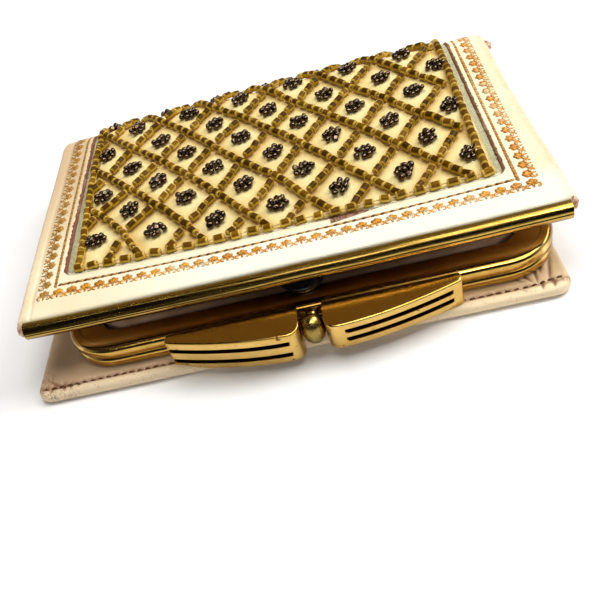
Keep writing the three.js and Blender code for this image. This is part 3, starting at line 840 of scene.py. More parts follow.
caseCut = {
    "windowHalf": 47.2, "windowFront": 11.9, "windowRear": 78.6, "windowDepth": 1.2, "windowCorner": 2.2,
    "windowSoft": 0.14, "coverCorner": 0.6, "coverEnd": (77.0, 89.0), "wave": 0.015,
    "flare": 1.5, "flareFrom": 49.0, "flareReach": 45.0, "seamInset": 2.9, "seamDepth": 0.22, "seamWide": 0.4,
    "panelCorner": 3.4, "panelNarrow": 2.2, "narrowFrom": 20.0, "panelAhead": 0.6, "panelEnd": (50.0, 62.0),
    "stitchInset": 2.5, "stitchDepth": 0.35, "stitchWide": 0.45, "lipLift": 0.12, "turnover": 3.0,
    "hemRise": 0.9, "hemFrom": 9.0, "hemTo": 2.0,
}
panelCreases = [  # on the lower panel, x and distance in from its front edge
    {"from": (44.0, 7.0), "to": (47.0, 3.6), "width": 0.35, "depth": 0.35},
    {"from": (46.4, 7.6), "to": (48.6, 3.4), "width": 0.35, "depth": 0.45},
    {"from": (50.2, 9.4), "to": (49.6, 3.2), "width": 0.32, "depth": 0.55},
    {"from": (52.4, 11.0), "to": (50.8, 5.6), "width": 0.35, "depth": 0.55},
    {"from": (53.6, 9.0), "to": (52.0, 3.0), "width": 0.35, "depth": 0.50},
    {"from": (46.0, 2.0), "to": (47.2, 0.7), "width": 0.35, "depth": 0.30},
    {"from": (50.4, 3.0), "to": (50.0, 0.8), "width": 0.35, "depth": 0.45},
    {"from": (52.8, 3.4), "to": (52.4, 1.0), "width": 0.40, "depth": 0.50},
    {"from": (-53.6, 4.6), "to": (-50.5, 2.2), "width": 0.40, "depth": 0.45},
    {"from": (-52.4, 3.0), "to": (-52.8, 0.8), "width": 0.40, "depth": 0.40},
    {"from": (-50.4, 3.8), "to": (-49.6, 0.8), "width": 0.35, "depth": 0.45},
    {"from": (-48.6, 3.4), "to": (-48.4, 0.9), "width": 0.35, "depth": 0.38},
    {"from": (-46.6, 3.0), "to": (-46.8, 1.2), "width": 0.35, "depth": 0.26},
]


def creaseDepth(x, ahead):  # how deep the creases lie at a place on the lower panel
    total = np.zeros_like(x)
    for row in panelCreases:
        start, end = np.array(row["from"]), np.array(row["to"])
        run = end - start
        share = np.clip(((x - start[0]) * run[0] + (ahead - start[1]) * run[1]) / (run @ run), 0, 1)
        away = np.hypot(x - start[0] - share * run[0], ahead - start[1] - share * run[1])
        total += row["depth"] * hump(away, row["width"]) * np.sin(math.pi * (0.15 + 0.7 * share))
    return total


def hemLine(x):  # how far the stitched hem climbs towards the right end of the lower panel
    return caseCut["hemRise"] * smooth(x, caseHalf - caseCut["hemFrom"], caseHalf - caseCut["hemTo"])


def narrowed(x):  # how far the right half of the lower panel is drawn in
    return caseCut["panelNarrow"] * smooth(x, caseCut["narrowFrom"], caseHalf)


def caseGrid():  # (distance, x) of the points, close together where the leather is cut, sewn or rolled
    half = wrapShape["wall"] / 2
    rim = half * (1 - np.cos(np.linspace(0, math.pi / 2, 7)))
    end = wrapLength - half
    rows = stations(half, (11.0, 0.6), (14.4, 0.2), (60.5, 1.6), (77.7, 0.8), (79.7, 0.2),
                    (end - 14, 1.4), (end, 0.3))
    rows = np.r_[rim[:-1], rows, wrapLength - rim[-2::-1]]
    side = stations(0.0, (44.4, 3.2), (47.9, 0.2), (caseHalf - half, 0.25))
    side = np.r_[side, caseHalf - rim[-2::-1]]
    distance, x = np.meshgrid(rows, np.r_[-side[:0:-1], side], indexing="ij")
    corner, panelCorner = caseCut["coverCorner"], caseCut["panelCorner"]
    nearFront = np.clip(corner - distance, 0, None)
    nearPanel = np.clip(distance - wrapLength + panelCorner, 0, None)
    pull = corner - np.sqrt(corner ** 2 - nearFront ** 2)
    pull = pull + panelCorner - np.sqrt(np.maximum(panelCorner ** 2 - nearPanel ** 2, 0))
    return distance, x * (caseHalf - pull) / caseHalf


def makeCase():
    half = wrapShape["wall"] / 2
    distance, x = caseGrid()
    ahead = wrapLength - distance
    inset = -roundBox(x, distance, caseHalf, 0, wrapLength, caseCut["coverCorner"], caseCut["panelCorner"])
    inset = np.maximum(inset, 0)
    thick = np.sqrt(np.maximum(half ** 2 - (half - np.minimum(inset, half)) ** 2, 0))
    away = smooth(inset, 0.2, 2.0)  # relief fades at the rolled edge
    wave = caseCut["wave"] * np.sin(0.21 * x + 0.9) * np.sin(0.17 * distance) * away
    window = roundBox(x, distance, caseCut["windowHalf"], caseCut["windowFront"], caseCut["windowRear"],
                      caseCut["windowCorner"], caseCut["windowCorner"])
    sunk = caseCut["windowDepth"] * (1 - smooth(window, -caseCut["windowSoft"], caseCut["windowSoft"]))
    onCover = 1 - smooth(distance, *caseCut["coverEnd"])
    seam = caseCut["seamDepth"] * hump(caseHalf + x - caseCut["seamInset"], caseCut["seamWide"]) * onCover
    outer = thick - half + wave - seam - sunk
    onPanel = 1 - smooth(ahead, *caseCut["panelEnd"])
    hem = ahead - hemLine(x)
    groove = caseCut["stitchDepth"] * hump(hem - caseCut["stitchInset"], caseCut["stitchWide"])
    lip = caseCut["lipLift"] * smooth(ahead, 0.3, 1.4) * (1 - smooth(hem, 1.6, 2.4))
    crease = creaseDepth(x, ahead)
    relief = onPanel * (lip - groove - crease) * away
    inner = -half - thick - relief + wave
    flare = caseCut["flare"] * smooth(x, caseCut["flareFrom"], caseHalf)
    spread = x - narrowed(x) * onPanel + flare * (1 - smooth(distance, 0, caseCut["flareReach"]))
    points = []
    for lift in (outer, inner):
        y, z = coverPlace(x, distance, lift)
        points.append(rowsOf(spread, y - caseCut["panelAhead"] * onPanel, z))
    outside = gridQuads(*x.shape)
    inside = gridQuads(*x.shape, x.size, flip=True)
    mesh = meshOf("case", np.vstack(points), np.vstack([outside, inside]))
    flat = rowsOf(x, distance, inset)
    keep(mesh, "flat", np.vstack([flat, flat]), "FLOAT_VECTOR")
    # the crease depth, kept also for the painted shade in the creases
    keep(mesh, "crease", np.tile((onPanel * crease).ravel(), 2))
    turned = np.mean(flat[outside, 1], axis=1) > wrapLength - caseCut["turnover"]
    lined = np.r_[turned, np.ones(len(inside), bool)]  # the lining turns over the front of the lower panel
    for paint in (cream, blush):
        mesh.materials.append(paint.material)
    mesh.polygons.foreach_set("material_index", lined.astype(np.int32))
    return weld(mesh)


piece("case_wrap", makeCase(), None, ["leather_case"])


# Worn cut edge of the leather round the window

edgeStrip = {"thick": 0.5, "low": -1.02, "high": 0.02, "tuck": 0.15, "fray": 0.09, "step": 0.5, "seed": 5}


def sweep(path, section):  # a closed (inward, up) section drawn along a flat path, with end caps
    section = np.asarray(section, float)
    flat = path[:, None, :] + leftOf(path)[:, None, :] * section[None, :, :1]
    up = np.broadcast_to(section[None, :, 1:], (len(path), len(section), 1))
    points = np.concatenate([flat, up], -1).reshape(-1, 3)
    return points, tubeFaces(len(path), len(section))


def makeWindowEdge():
    path = roundedPath(caseCut["windowHalf"], caseCut["windowFront"], caseCut["windowRear"],
                       caseCut["windowCorner"])
    path = resampled(path, edgeStrip["step"])
    low, high, thick, tuck = edgeStrip["low"], edgeStrip["high"], edgeStrip["thick"], edgeStrip["tuck"]
    section = [(-tuck, low), (thick, low), (thick * 1.1, low / 2), (thick * 0.7, high - 0.1), (-tuck, high)]
    points, faces = sweep(path, section)
    mesh = meshOf("window_edge", fray(points, edgeStrip["fray"], edgeStrip["seed"]), faces)
    return layOnCover(weld(mesh, outward=True))


piece("window_edge", makeWindowEdge(), [cutEdge])


# Cloth panel in the window

panelSet = {
    "gap": 0.35, "edgeLift": -0.25, "dome": 0.8, "thick": 0.45, "step": 0.6, "tuck": 0.25, "tuckReach": 0.6,
    "puff": 0.28, "puffReach": (0.4, 4.2), "pull": 0.12, "ripple": 0.05, "flatRim": (2.0, 4.5),
    "borderInset": 2.7, "diamondWide": 13.9, "diamondRow": 8.6, "firstRow": 18.9, "rows": 7, "halfSteps": 8,
    "middle": 0.6, "slant": 0.032,  # the hand-strung pattern sits a little askew
}
panelFront = caseCut["windowFront"] + panelSet["gap"]
panelRear = caseCut["windowRear"] - panelSet["gap"]
panelHalf = caseCut["windowHalf"] - panelSet["gap"]


def panelLift(x, distance):  # padded dome of the cloth
    across = x / caseCut["windowHalf"]
    middle = (caseCut["windowFront"] + caseCut["windowRear"]) / 2
    along = (distance - middle) / (caseCut["windowRear"] - middle)
    return panelSet["edgeLift"] + panelSet["dome"] * (1 - across ** 4) * (1 - along ** 4)


patternBend = {
    "squeeze": 0.02, "squeezeReach": (13.0, 55.0),
    "corner": 3.7, "cornerAcross": (10.0, 46.0), "cornerIn": (12.9, 18.5), "cornerOut": (20.0, 42.0),
}


def patternShift(x, distance):  # drawn in towards the front, the left front corner set back
    inward = patternBend["squeeze"] * (1 - smooth(distance, *patternBend["squeezeReach"]))
    corner = smooth(-x, *patternBend["cornerAcross"]) * smooth(distance, *patternBend["cornerIn"])
    corner = corner * (1 - smooth(distance, *patternBend["cornerOut"]))
    return np.stack([-x * inward, patternBend["corner"] * corner], -1)


def stringDistance(x, distance):  # how far a place is from the nearest slanting string
    shift = patternShift(x, distance)
    x, distance = x - shift[..., 0], distance - shift[..., 1]
    right = (x - panelSet["middle"]) / panelSet["diamondWide"]
    back = (distance - panelSet["slant"] * x - panelSet["firstRow"]) / (2 * panelSet["diamondRow"])
    spacing = math.hypot(1 / panelSet["diamondWide"], 0.5 / panelSet["diamondRow"])
    gaps = [np.abs(line % 1 - 0.5) for line in (right + back, right - back)]
    return np.minimum(*gaps) / spacing


def makePanel():
    rows = stations(panelFront, (panelRear, panelSet["step"]))
    columns = stations(-panelHalf, (panelHalf, panelSet["step"]))
    distance, x = np.meshgrid(rows, columns, indexing="ij")
    corner = caseCut["windowCorner"] - panelSet["gap"]
    near = np.clip(panelFront + corner - distance, 0, corner)
    x = x * (panelHalf - corner + np.sqrt(corner ** 2 - near ** 2)) / panelHalf
    inset = -roundBox(x, distance, panelHalf, panelFront, panelRear, corner, 0.1)
    string = stringDistance(x, distance)
    puff = panelSet["puff"] * smooth(string, *panelSet["puffReach"]) - panelSet["pull"]
    ripple = panelSet["ripple"] * np.sin(1.9 * x + 0.6 * distance) * np.sin(1.3 * distance)
    tuck = panelSet["tuck"] * (1 - smooth(inset, 0, panelSet["tuckReach"]))
    top = panelLift(x, distance) + smooth(inset, *panelSet["flatRim"]) * (puff + ripple) - tuck
    points = np.vstack([rowsOf(x, distance, lift) for lift in (top, top - panelSet["thick"])])
    along, across = x.shape
    border = np.r_[np.arange(across), np.arange(1, along) * across + across - 1,
                   x.size - 2 - np.arange(across - 1), np.arange(along - 2, 0, -1) * across]
    beside = np.roll(border, -1)
    wall = rowsOf(border + x.size, beside + x.size, beside, border)
    faces = [gridQuads(along, across), gridQuads(along, across, x.size, flip=True), wall]
    mesh = meshOf("panel", points, np.vstack(faces))
    flat = rowsOf(x, distance, inset)
    keep(mesh, "flat", np.vstack([flat, flat]), "FLOAT_VECTOR")
    # distance to the strings, kept for the painted shade near them
    keep(mesh, "string", np.tile(string.ravel(), 2))
    return layOnCover(mesh)


panel = piece("bead_cloth", makePanel(), [cloth], ["bead_panel"])


# Tube beads on their strings

beadSet = {
    "radius": 0.84, "length": 2.4, "hole": 0.36, "bevel": 0.2, "sides": 12, "sink": 0.06,
    "perSide": 4, "cutRoom": 0.45, "ease": 0.98, "stray": 0.30, "lineStep": 2.0, "seed": 11,
    "wobble": math.radians(8), "shift": (0.18, 0.18, 0.03),
    "smallest": (0.86, 0.93, 0.93), "largest": (1.1, 1.06, 1.06), "paleShare": 0.8,
    "frontGap": 1.05, "frontPitch": 3.5, "frontPale": 0.32,
    "sidePitch": 2.3, "sideStart": 1.2, "leftPale": 0.1, "rightPale": 0.15,
}
diamondSide = math.hypot(panelSet["diamondWide"] / 2, panelSet["diamondRow"])
beadPitch = diamondSide / beadSet["perSide"]
borderHalf = caseCut["windowHalf"] - panelSet["borderInset"]
borderFront = caseCut["windowFront"] + beadSet["frontGap"]
borderRear = caseCut["windowRear"] - panelSet["borderInset"] / 2
halfSteps = panelSet["halfSteps"]
strayShape = (panelSet["rows"] + 2, 2 * halfSteps + 3, 2)
strayPlaces = np.random.default_rng(beadSet["seed"]).normal(0, beadSet["stray"], strayShape)


def tubeBead():
    radius, half, hole, bevel = beadSet["radius"], beadSet["length"] / 2, beadSet["hole"], beadSet["bevel"]
    profile = [(hole, half - bevel / 2), (hole, bevel / 2 - half), (radius - bevel, -half),
               (radius, bevel - half), (radius, -half / 2), (radius, half / 2), (radius, half - bevel),
               (radius - bevel, half)]
    points, faces = spin(profile, beadSet["sides"], ring=True)
    mesh = weld(meshOf("tube_bead", points[:, [2, 0, 1]], faces), outward=True)
    keep(mesh, "along", np.abs(pointsOf(mesh)[:, 0]) / half)
    return loosePart("tube_bead", mesh)


def onPattern(step, level):  # a place on the bead pattern, by half diamonds, a little off as strung by hand
    x = panelSet["middle"] + step * panelSet["diamondWide"] / 2
    place = np.array([x, panelSet["firstRow"] + level * panelSet["diamondRow"] + panelSet["slant"] * x])
    return place + strayPlaces[level + 1, step + halfSteps + 1]


def insideBorder(start, run):  # the shares of a diamond side at which it enters and leaves the border
    first, last = 0.0, 1.0
    for axis, low, high in ((0, -borderHalf, borderHalf), (1, borderFront, borderRear)):
        limits = sorted(((low - start[axis]) / run[axis], (high - start[axis]) / run[axis]))
        first, last = max(first, limits[0]), min(last, limits[1])
    return first, last


def latticeRuns():  # diamond sides between crossings, cut back where another bead sits
    room = 1 / beadSet["perSide"]
    cut = beadSet["cutRoom"] * room
    sides = [(step, level, lean) for level in range(-1, panelSet["rows"])
             for step in range(-halfSteps, halfSteps + 1) for lean in (-1, 1) if (step + level) % 2]
    runs = []
    for step, level, lean in sides:
        start = onPattern(step, level)
        run = onPattern(step + lean, level + 1) - start
        first, last = insideBorder(start, run)
        first = first + (cut if first > 0 else (room if lean > 0 else 0))
        last = last - (cut if last < 1 else room)
        if last > first - 1e-6:
            last = max(last, first + 1e-3)  # a lone bead still needs an edge
            length = (last - first) * np.linalg.norm(run)
            gaps = max(1, round(length / beadPitch)) if length > beadPitch / 2 else 0
            pitch = beadSet["ease"] * length / gaps if gaps else beadPitch
            runs.append((start + first * run, start + last * run, pitch, 0.0))
    return runs


def borderRuns():
    front, rear, half = borderFront, borderRear, borderHalf
    sideEnd = front + beadSet["sideStart"]
    close, sparse = beadSet["sidePitch"], beadSet["frontPitch"]
    runs = [
        ((-half, rear), (-half, sideEnd), close, beadSet["leftPale"]),
        ((half, rear), (half, sideEnd), close, beadSet["rightPale"]),
        ((-half, front), (half, front), sparse, beadSet["frontPale"]),
        ((half, rear), (-half, rear), close, 0.0),
    ]
    return [(np.array(start), np.array(end), pitch, pale) for start, end, pitch, pale in runs]


def beadGrowth():
    tree = Growth("beadGrowth", {"Bead": "Object", "Seed": "Int", "Wobble": "Vector", "Shift": "Vector",
                                 "Paint": "Material"})
    seed = tree.given("Seed")
    points, turn = tree.along(tree.kept("pitch"))
    size = tree.jitter(beadSet["smallest"], beadSet["largest"], seed, "FLOAT_VECTOR")
    placed = tree.copies(points, tree.shape("Bead"), turn, size)
    roll = tree.sway(tree.given("Wobble"), seed + 3)
    move = tree.sway(tree.given("Shift"), seed + 5)
    placed = tree.add("GeometryNodeRotateInstances", None, {"Instances": placed, "Rotation": roll})
    placed = tree.add("GeometryNodeTranslateInstances", None, {"Instances": placed, "Translation": move})
    chance = tree.jitter(0.0, 1.0, seed + 7)
    tint = chance * chance * chance * beadSet["paleShare"] + tree.kept("pale")  # few of the beads are pale
    placed = tree.store(placed, "INSTANCE", "tint", tint.atMost(1.0))
    real = tree.add("GeometryNodeRealizeInstances", None, {0: placed})
    # how far each point faces up, for the beads' painted light
    normal = tree.add("GeometryNodeInputNormal")
    crown = tree.add("ShaderNodeSeparateXYZ", None, {0: normal}, out=2)
    tree.close(tree.store(real, "POINT", "crown", crown))
    return tree


def beadLines():  # the strings as edges at bead height, with the pitch and tint of their beads
    lines, pitches, pales = [], [], []
    for start, end, pitch, pale in latticeRuns() + borderRuns():
        straight = np.linalg.norm(end - start)
        steps = max(1, round(straight / beadSet["lineStep"]))
        path = start + np.linspace(0, 1, steps + 1)[:, None] * (end - start)
        path = path + patternShift(*path.T)
        pitch = pitch * np.linalg.norm(np.diff(path, axis=0), axis=1).sum() / straight
        lift = panelLift(path[:, 0], path[:, 1]) + beadSet["radius"] - beadSet["sink"]
        lines.append(np.column_stack([path, lift]))
        pitches += [pitch] * len(path)
        pales += [pale] * len(path)
    mesh = lineMesh("bead_lines", lines)
    keep(mesh, "pitch", pitches)
    keep(mesh, "pale", pales)
    return mesh


def makeBeads():
    wobble = (math.pi, beadSet["wobble"], beadSet["wobble"])
    return beadGrowth().run(beadLines(), {
        "Bead": tubeBead(), "Seed": beadSet["seed"], "Wobble": wobble, "Shift": beadSet["shift"],
        "Paint": amber.material})


piece("bead_strings", layOnCover(makeBeads()), None, ["bead_lattice"])


# Thread through the beads

threadSet = {"radius": 0.16, "sides": 6}


def threadGrowth():
    tree = Growth("threadGrowth", {"Radius": "Float", "Sides": "Int", "Paint": "Material"})
    sockets = {"Resolution": tree.given("Sides"), "Radius": tree.given("Radius")}
    ring = tree.add("GeometryNodeCurvePrimitiveCircle", None, sockets)
    sockets = {"Curve": tree.curve(), "Profile Curve": ring, "Fill Caps": True}
    tree.close(tree.add("GeometryNodeCurveToMesh", None, sockets))
    return tree


threads = threadGrowth().run(beadLines(), {
    "Radius": threadSet["radius"], "Sides": threadSet["sides"], "Paint": paleThread.material})
piece("bead_thread", layOnCover(threads), None)


# Clusters of dark seed beads in the diamonds

clusterSet = {
    "across": 6, "rearGap": 1.0, "rest": 0.5, "sway": (0.0, 0.0, 0.5), "shift": (0.16, 0.16, 0.1), "seed": 4,
    "outer": 7, "ring": 1.62, "inner": 2, "innerRing": 0.5, "innerRise": 0.55, "start": 0.3, "ripple": 0.1,
    "stretch": 0.2, "lean": math.radians(30),
    "tube": 0.43, "tall": 1.25, "core": 0.37, "around": 10, "section": 7,
    "tumble": (6.28, 1.2, 6.28), "sizes": (0.9, 1.1),
}


def seedBead():
    turns = np.arange(clusterSet["section"]) / clusterSet["section"] * 2 * math.pi
    wide, high = clusterSet["tube"], clusterSet["tall"] * clusterSet["tube"]
    profile = np.stack([clusterSet["core"] + wide * np.cos(turns), high * np.sin(turns)], -1)
    points, faces = spin(profile, clusterSet["around"], ring=True)
    return loosePart("seed_bead", weld(meshOf("seed_bead", points, faces), outward=True))


def clusterPlan():  # places of the beads in one cluster
    rings = []
    for count, reach, rise in ((clusterSet["outer"], clusterSet["ring"], 0.0),
                               (clusterSet["inner"], clusterSet["innerRing"], clusterSet["innerRise"])):
        turns = (np.arange(count) + clusterSet["start"]) / count * 2 * math.pi
        away = reach * (1 + clusterSet["stretch"] * np.cos(2 * (turns - clusterSet["lean"])))
        height = rise + clusterSet["ripple"] * np.sin(5 * turns)
        rings.append(rowsOf(away * np.cos(turns), away * np.sin(turns), height))
    return loosePart("cluster_plan", meshOf("cluster_plan", np.vstack(rings), ()))


def clusterCentres():
    places = []
    for level in range(panelSet["rows"]):
        for step in range(-clusterSet["across"], clusterSet["across"] + 1):
            x, distance = onPattern(step, level)
            x, distance = patternShift(x, distance) + (x, distance)
            if (step + level) % 2 == 0 and distance < borderRear - clusterSet["rearGap"]:
                places.append((x, distance, panelLift(x, distance) + panelSet["puff"] + clusterSet["rest"]))
    return meshOf("cluster_centres", places, ())


def clusterGrowth():
    tree = Growth("clusterGrowth", {"Plan": "Object", "Bead": "Object", "Sway": "Vector", "Shift": "Vector",
                                    "Seed": "Int", "Paint": "Material"})
    seed = tree.given("Seed")
    centres = tree.add("GeometryNodeMeshToPoints", None, {"Mesh": tree.given("Geometry")})
    spread = tree.copies(centres, tree.shape("Plan"), tree.sway(tree.given("Sway"), seed))
    places = tree.add("GeometryNodeRealizeInstances", None, {0: spread})
    move = tree.sway(tree.given("Shift"), seed + 2)
    places = tree.add("GeometryNodeSetPosition", None, {"Geometry": places, "Offset": move})
    tilt = tree.jitter((0, 0, 0), clusterSet["tumble"], seed + 4, "FLOAT_VECTOR")
    size = tree.jitter(*clusterSet["sizes"], seed + 6)
    tree.close(tree.copies(places, tree.shape("Bead"), tilt, size))
    return tree


clusters = clusterGrowth().run(clusterCentres(), {
    "Plan": clusterPlan(), "Bead": seedBead(), "Sway": clusterSet["sway"], "Shift": clusterSet["shift"],
    "Seed": clusterSet["seed"], "Paint": hematite.material})
piece("seed_clusters", layOnCover(clusters), None)


# Gilt border stamped round the cover

giltSet = {
    "outerHalf": 52.4, "outerFront": 5.5, "rear": 83.5, "band": 3.1, "pitch": 3.0, "rise": 0.10, "sink": 0.02,
    "frontGap": 1.6, "cornerGap": 1.4,
    "fan": 1.2, "petals": ((0, 1.55), (-42, 1.4), (42, 1.4)),  # the lean and length of each
    "petalShares": (0.0, 0.6, 1.0), "petalWide": (0.6, 1.25, 0.8),
    "stem": (0.0, 1.6), "stemWide": (0.45, 0.9),
    "curl": (0.95, 0.66), "curlSize": (0.46, 0.60), "curlTurns": (-120, 170), "curlSteps": 8, "curlWide": 0.5,
    "dot": 0.16, "dotWide": 0.26,
    "ropeInset": 3.85, "ropeGap": 0.3, "ropePitch": 1.9, "ropeLong": 1.2, "ropeWide": 0.85,
    "ropeTaper": (0.4, 1.0, 1.0, 0.4), "ropeLean": math.radians(18),
}


def ridge(line, widths):  # a closed roof-shaped strip along a flat line
    line = np.asarray(line, float)
    beside = leftOf(line) * np.asarray(widths, float)[:, None] / 2
    count = len(line)
    left = np.column_stack([line + beside, np.full(count, -giltSet["sink"])])
    right = np.column_stack([line - beside, np.full(count, -giltSet["sink"])])
    crest = np.column_stack([line, np.full(count, giltSet["rise"])])
    points = np.stack([right, crest, left], 1).reshape(-1, 3)
    return weld(meshOf("ridge", points, tubeFaces(count, 3)), gap=1e-4, outward=True)


def palmette():  # a fan on a stem between two curls; x along the border, y towards the window
    strips = []
    for lean, reach in giltSet["petals"]:
        aim = np.array([math.sin(math.radians(lean)), math.cos(math.radians(lean))])
        line = (0, giltSet["fan"]) + np.array(giltSet["petalShares"])[:, None] * aim * reach
        strips.append(ridge(line, giltSet["petalWide"]))
    strips.append(ridge([(0, height) for height in giltSet["stem"]], giltSet["stemWide"]))
    turns = np.radians(np.linspace(*giltSet["curlTurns"], giltSet["curlSteps"]))
    dot = np.array([0, giltSet["dot"]])
    for side in (-1, 1):
        centre = np.array(giltSet["curl"]) * (side, 1)
        curl = centre + np.stack([side * np.cos(turns), np.sin(turns)], -1) * giltSet["curlSize"]
        strips.append(ridge(curl, np.full(len(turns), giltSet["curlWide"])))
        strips.append(ridge([centre - dot, centre + dot], np.full(2, giltSet["dotWide"])))
    return loosePart("palmette", joined("palmette", strips))


def ropeDash():  # two turns of the rope, the first in shade
    half, lean, quarter = giltSet["ropeLong"] / 2, giltSet["ropeLean"], giltSet["ropePitch"] / 4
    widths = np.array(giltSet["ropeTaper"]) * giltSet["ropeWide"]
    line = np.linspace(-half, half, len(widths))[:, None] * np.array([math.cos(lean), math.sin(lean)])
    dash = joined("rope_dash", [ridge(line + (shift, 0), widths) for shift in (-quarter, quarter)])
    keep(dash, "shade", pointsOf(dash)[:, 0] < 0)
    return loosePart("rope_dash", dash)


def stampGrowth():  # copies of a stamp along the runs, each turned to the way it travels
    tree = Growth("stampGrowth", {"Stamp": "Object", "Pitch": "Float", "Paint": "Material"})
    points, turn = tree.along(tree.given("Pitch"))
    tree.close(tree.copies(points, tree.shape("Stamp"), turn))
    return tree


def stampRuns(half, front, rear, margin):  # four sides, travelled with the window on the left
    across = half - giltSet["frontGap"]
    sides = [
        ((-half, rear - margin), (-half, front + margin)),
        ((-across, front), (across, front)),
        ((half, front + margin), (half, rear - margin)),
        ((half - margin, rear), (margin - half, rear)),
    ]
    return [np.array([(*start, 0.0), (*end, 0.0)]) for start, end in sides]


stamps = stampGrowth()
outerHalf, outerFront = giltSet["outerHalf"], giltSet["outerFront"]
outerRear = giltSet["rear"] + giltSet["band"]
border = stampRuns(outerHalf, outerFront, outerRear, giltSet["band"] + giltSet["cornerGap"])
borderMesh = stamps.run(lineMesh("border_runs", border), {
    "Stamp": palmette(), "Pitch": giltSet["pitch"], "Paint": gilt.material})
piece("gilt_border", layOnCover(borderMesh), None)
inset = giltSet["ropeInset"]
rope = stampRuns(outerHalf - inset, outerFront + inset, outerRear - inset, giltSet["ropeGap"])
ropeMesh = stamps.run(lineMesh("rope_runs", rope), {
    "Stamp": ropeDash(), "Pitch": giltSet["ropePitch"], "Paint": giltBrown.material})
piece("gilt_rope", layOnCover(ropeMesh), None)


# Metal bar on the front edge of the cover

barSet = {
    "half": 54.2, "right": 55.7, "radius": 1.85, "wall": 0.5, "lip": 0.16, "y": -0.6, "z": 13.0, "step": 2.0,
    "wobble": 0.04, "bow": 0.35, "notch": 0.14, "notchTurn": 175.0, "notchWide": 3.5,
    "flat": 0.8, "flatTurn": 145.0, "flatSpan": 26.0, "flatFade": (-30.0, 4.0),
    "outerSteps": 61, "innerSteps": 13,
}


def makeBar():
    radius, wall, lip = barSet["radius"], barSet["wall"], barSet["lip"]
    y, z, span = barSet["y"], barSet["z"], barSet["flatSpan"]
    turn = np.linspace(90, 270, barSet["outerSteps"])
    chord = math.cos(math.radians(span)) / np.cos(np.radians(np.clip(turn - barSet["flatTurn"], -span, span)))
    notch = barSet["notch"] * hump(turn - barSet["notchTurn"], barSet["notchWide"])
    turned = np.stack([np.cos(np.radians(turn)), np.sin(np.radians(turn))], -1)
    inner = arc(y, z, radius - wall, 270, 90, barSet["innerSteps"])
    top = [(-lip, z + radius - wall), (0, z + radius - wall + lip), (0, z + radius - lip), (-lip, z + radius)]
    low = [(-lip, z - radius), (0, z - radius + lip), (0, z - radius + wall - lip), (-lip, z - radius + wall)]
    rings = []
    for x in stations(-barSet["half"], (barSet["right"], barSet["step"])):
        sway = barSet["wobble"] * np.array([math.sin(0.31 * x), math.sin(0.23 * x + 1.0)])
        sway = sway - barSet["bow"] * (1 - (x / caseHalf) ** 2)
        worn = barSet["flat"] * (1 - smooth(x, *barSet["flatFade"]))  # flattened on the left only
        reach = radius * (1 - worn * (1 - chord)) - notch
        section = np.vstack([top, turned * reach[:, None] + (y, z), low, inner])
        rings.append(np.column_stack([np.full(len(section), x), section + sway]) + (0, rowShift, 0))
    return tube(rings)


piece("edge_channel", makeBar(), [barGold], ["edge_bar"], sharp=50)


# Torn leather at both ends of the bar and at the right end of the spine

nubSet = [
    {"x": 56.5, "y": 0.3, "z": 13.5, "radii": (0.9, 1.0, 1.3), "seed": 21},
    {"x": -55.0, "y": -0.2, "z": 12.9, "radii": (1.1, 1.2, 1.6), "seed": 22},
    {"x": 55.9, "y": 59.9, "z": 17.3, "radii": (1.1, 1.7, 1.3), "seed": 23},
]
nubShape = {"rings": 11, "sides": 16, "pole": 0.06, "fray": 0.12}


def makeNub(row):
    points, faces = spin(ballProfile(nubShape["rings"], nubShape["pole"]), nubShape["sides"])
    place = (row["x"], row["y"] + rowShift, row["z"])
    points = fray(points * row["radii"], nubShape["fray"], row["seed"]) + place
    return weld(meshOf("nub", points, faces), outward=True)


piece("bar_end_leather", joined("bar_ends", [makeNub(row) for row in nubSet]), [torn])


# Two jaws of the pouch frame

jawSet = {
    "centreX": 2.55, "half": 51.3, "front": -5.6, "rear": 25.0, "corner": 11.0, "base": 2.5, "gap": 0.25,
    "rimWide": 2.4, "rimHigh": 2.3, "roll": 1.15, "shoulder": 0.5, "tuck": 0.3,
    "flangeFront": 6.2, "flangeSide": 7.2, "flangeCorner": 5.0, "flangeThick": 0.6, "flangeStep": 0.4,
    "flangeEdge": 0.15, "cornerSteps": 13, "frontSteps": 24, "sideSteps": 8,
}
jawTop = jawSet["base"] + 2 * jawSet["rimHigh"] + jawSet["gap"]


def framePath(inset, sideInset, radius):  # one line of the U, as many points whatever its inset
    turn = jawSet["cornerSteps"]
    path = roundedPath(jawSet["half"] - sideInset, jawSet["front"] + inset, jawSet["rear"], radius, turn)
    straight = {0: jawSet["sideSteps"], turn: jawSet["frontSteps"], len(path) - 2: jawSet["sideSteps"]}
    pieces = []
    for number, (start, end) in enumerate(zip(path[:-1], path[1:])):
        steps = straight.get(number, 1)
        pieces.append(start + np.arange(steps)[:, None] / steps * (end - start))
    return np.vstack([*pieces, path[-1:]]) + (jawSet["centreX"], rowShift)


def frameLoft(section):  # (inset, side inset, corner radius, z) lines lofted round the U
    lines = []
    for inset, sideInset, radius, z in section:
        path = framePath(inset, sideInset, radius)
        lines.append(np.column_stack([path, np.full(len(path), z)]))
    return tube(np.stack(lines, 1))


def rimSection(base):  # a rim rolled over at the top, with a flat face below
    wide, half, corner = jawSet["rimWide"], jawSet["rimHigh"] / 2, jawSet["corner"]
    roll, shoulder, tuck = jawSet["roll"], jawSet["shoulder"], jawSet["tuck"]
    outline = [
        *arc(roll, half - roll, roll, 180, 90, 8),
        *arc(wide - shoulder, half - shoulder, shoulder, 90, 0, 5),
        *arc(wide - tuck, tuck - half, tuck, 0, -90, 4),
        *arc(tuck, tuck - half, tuck, 270, 180, 5),
    ]
    return [(inset, inset, corner - inset, base + half + rise) for inset, rise in outline]


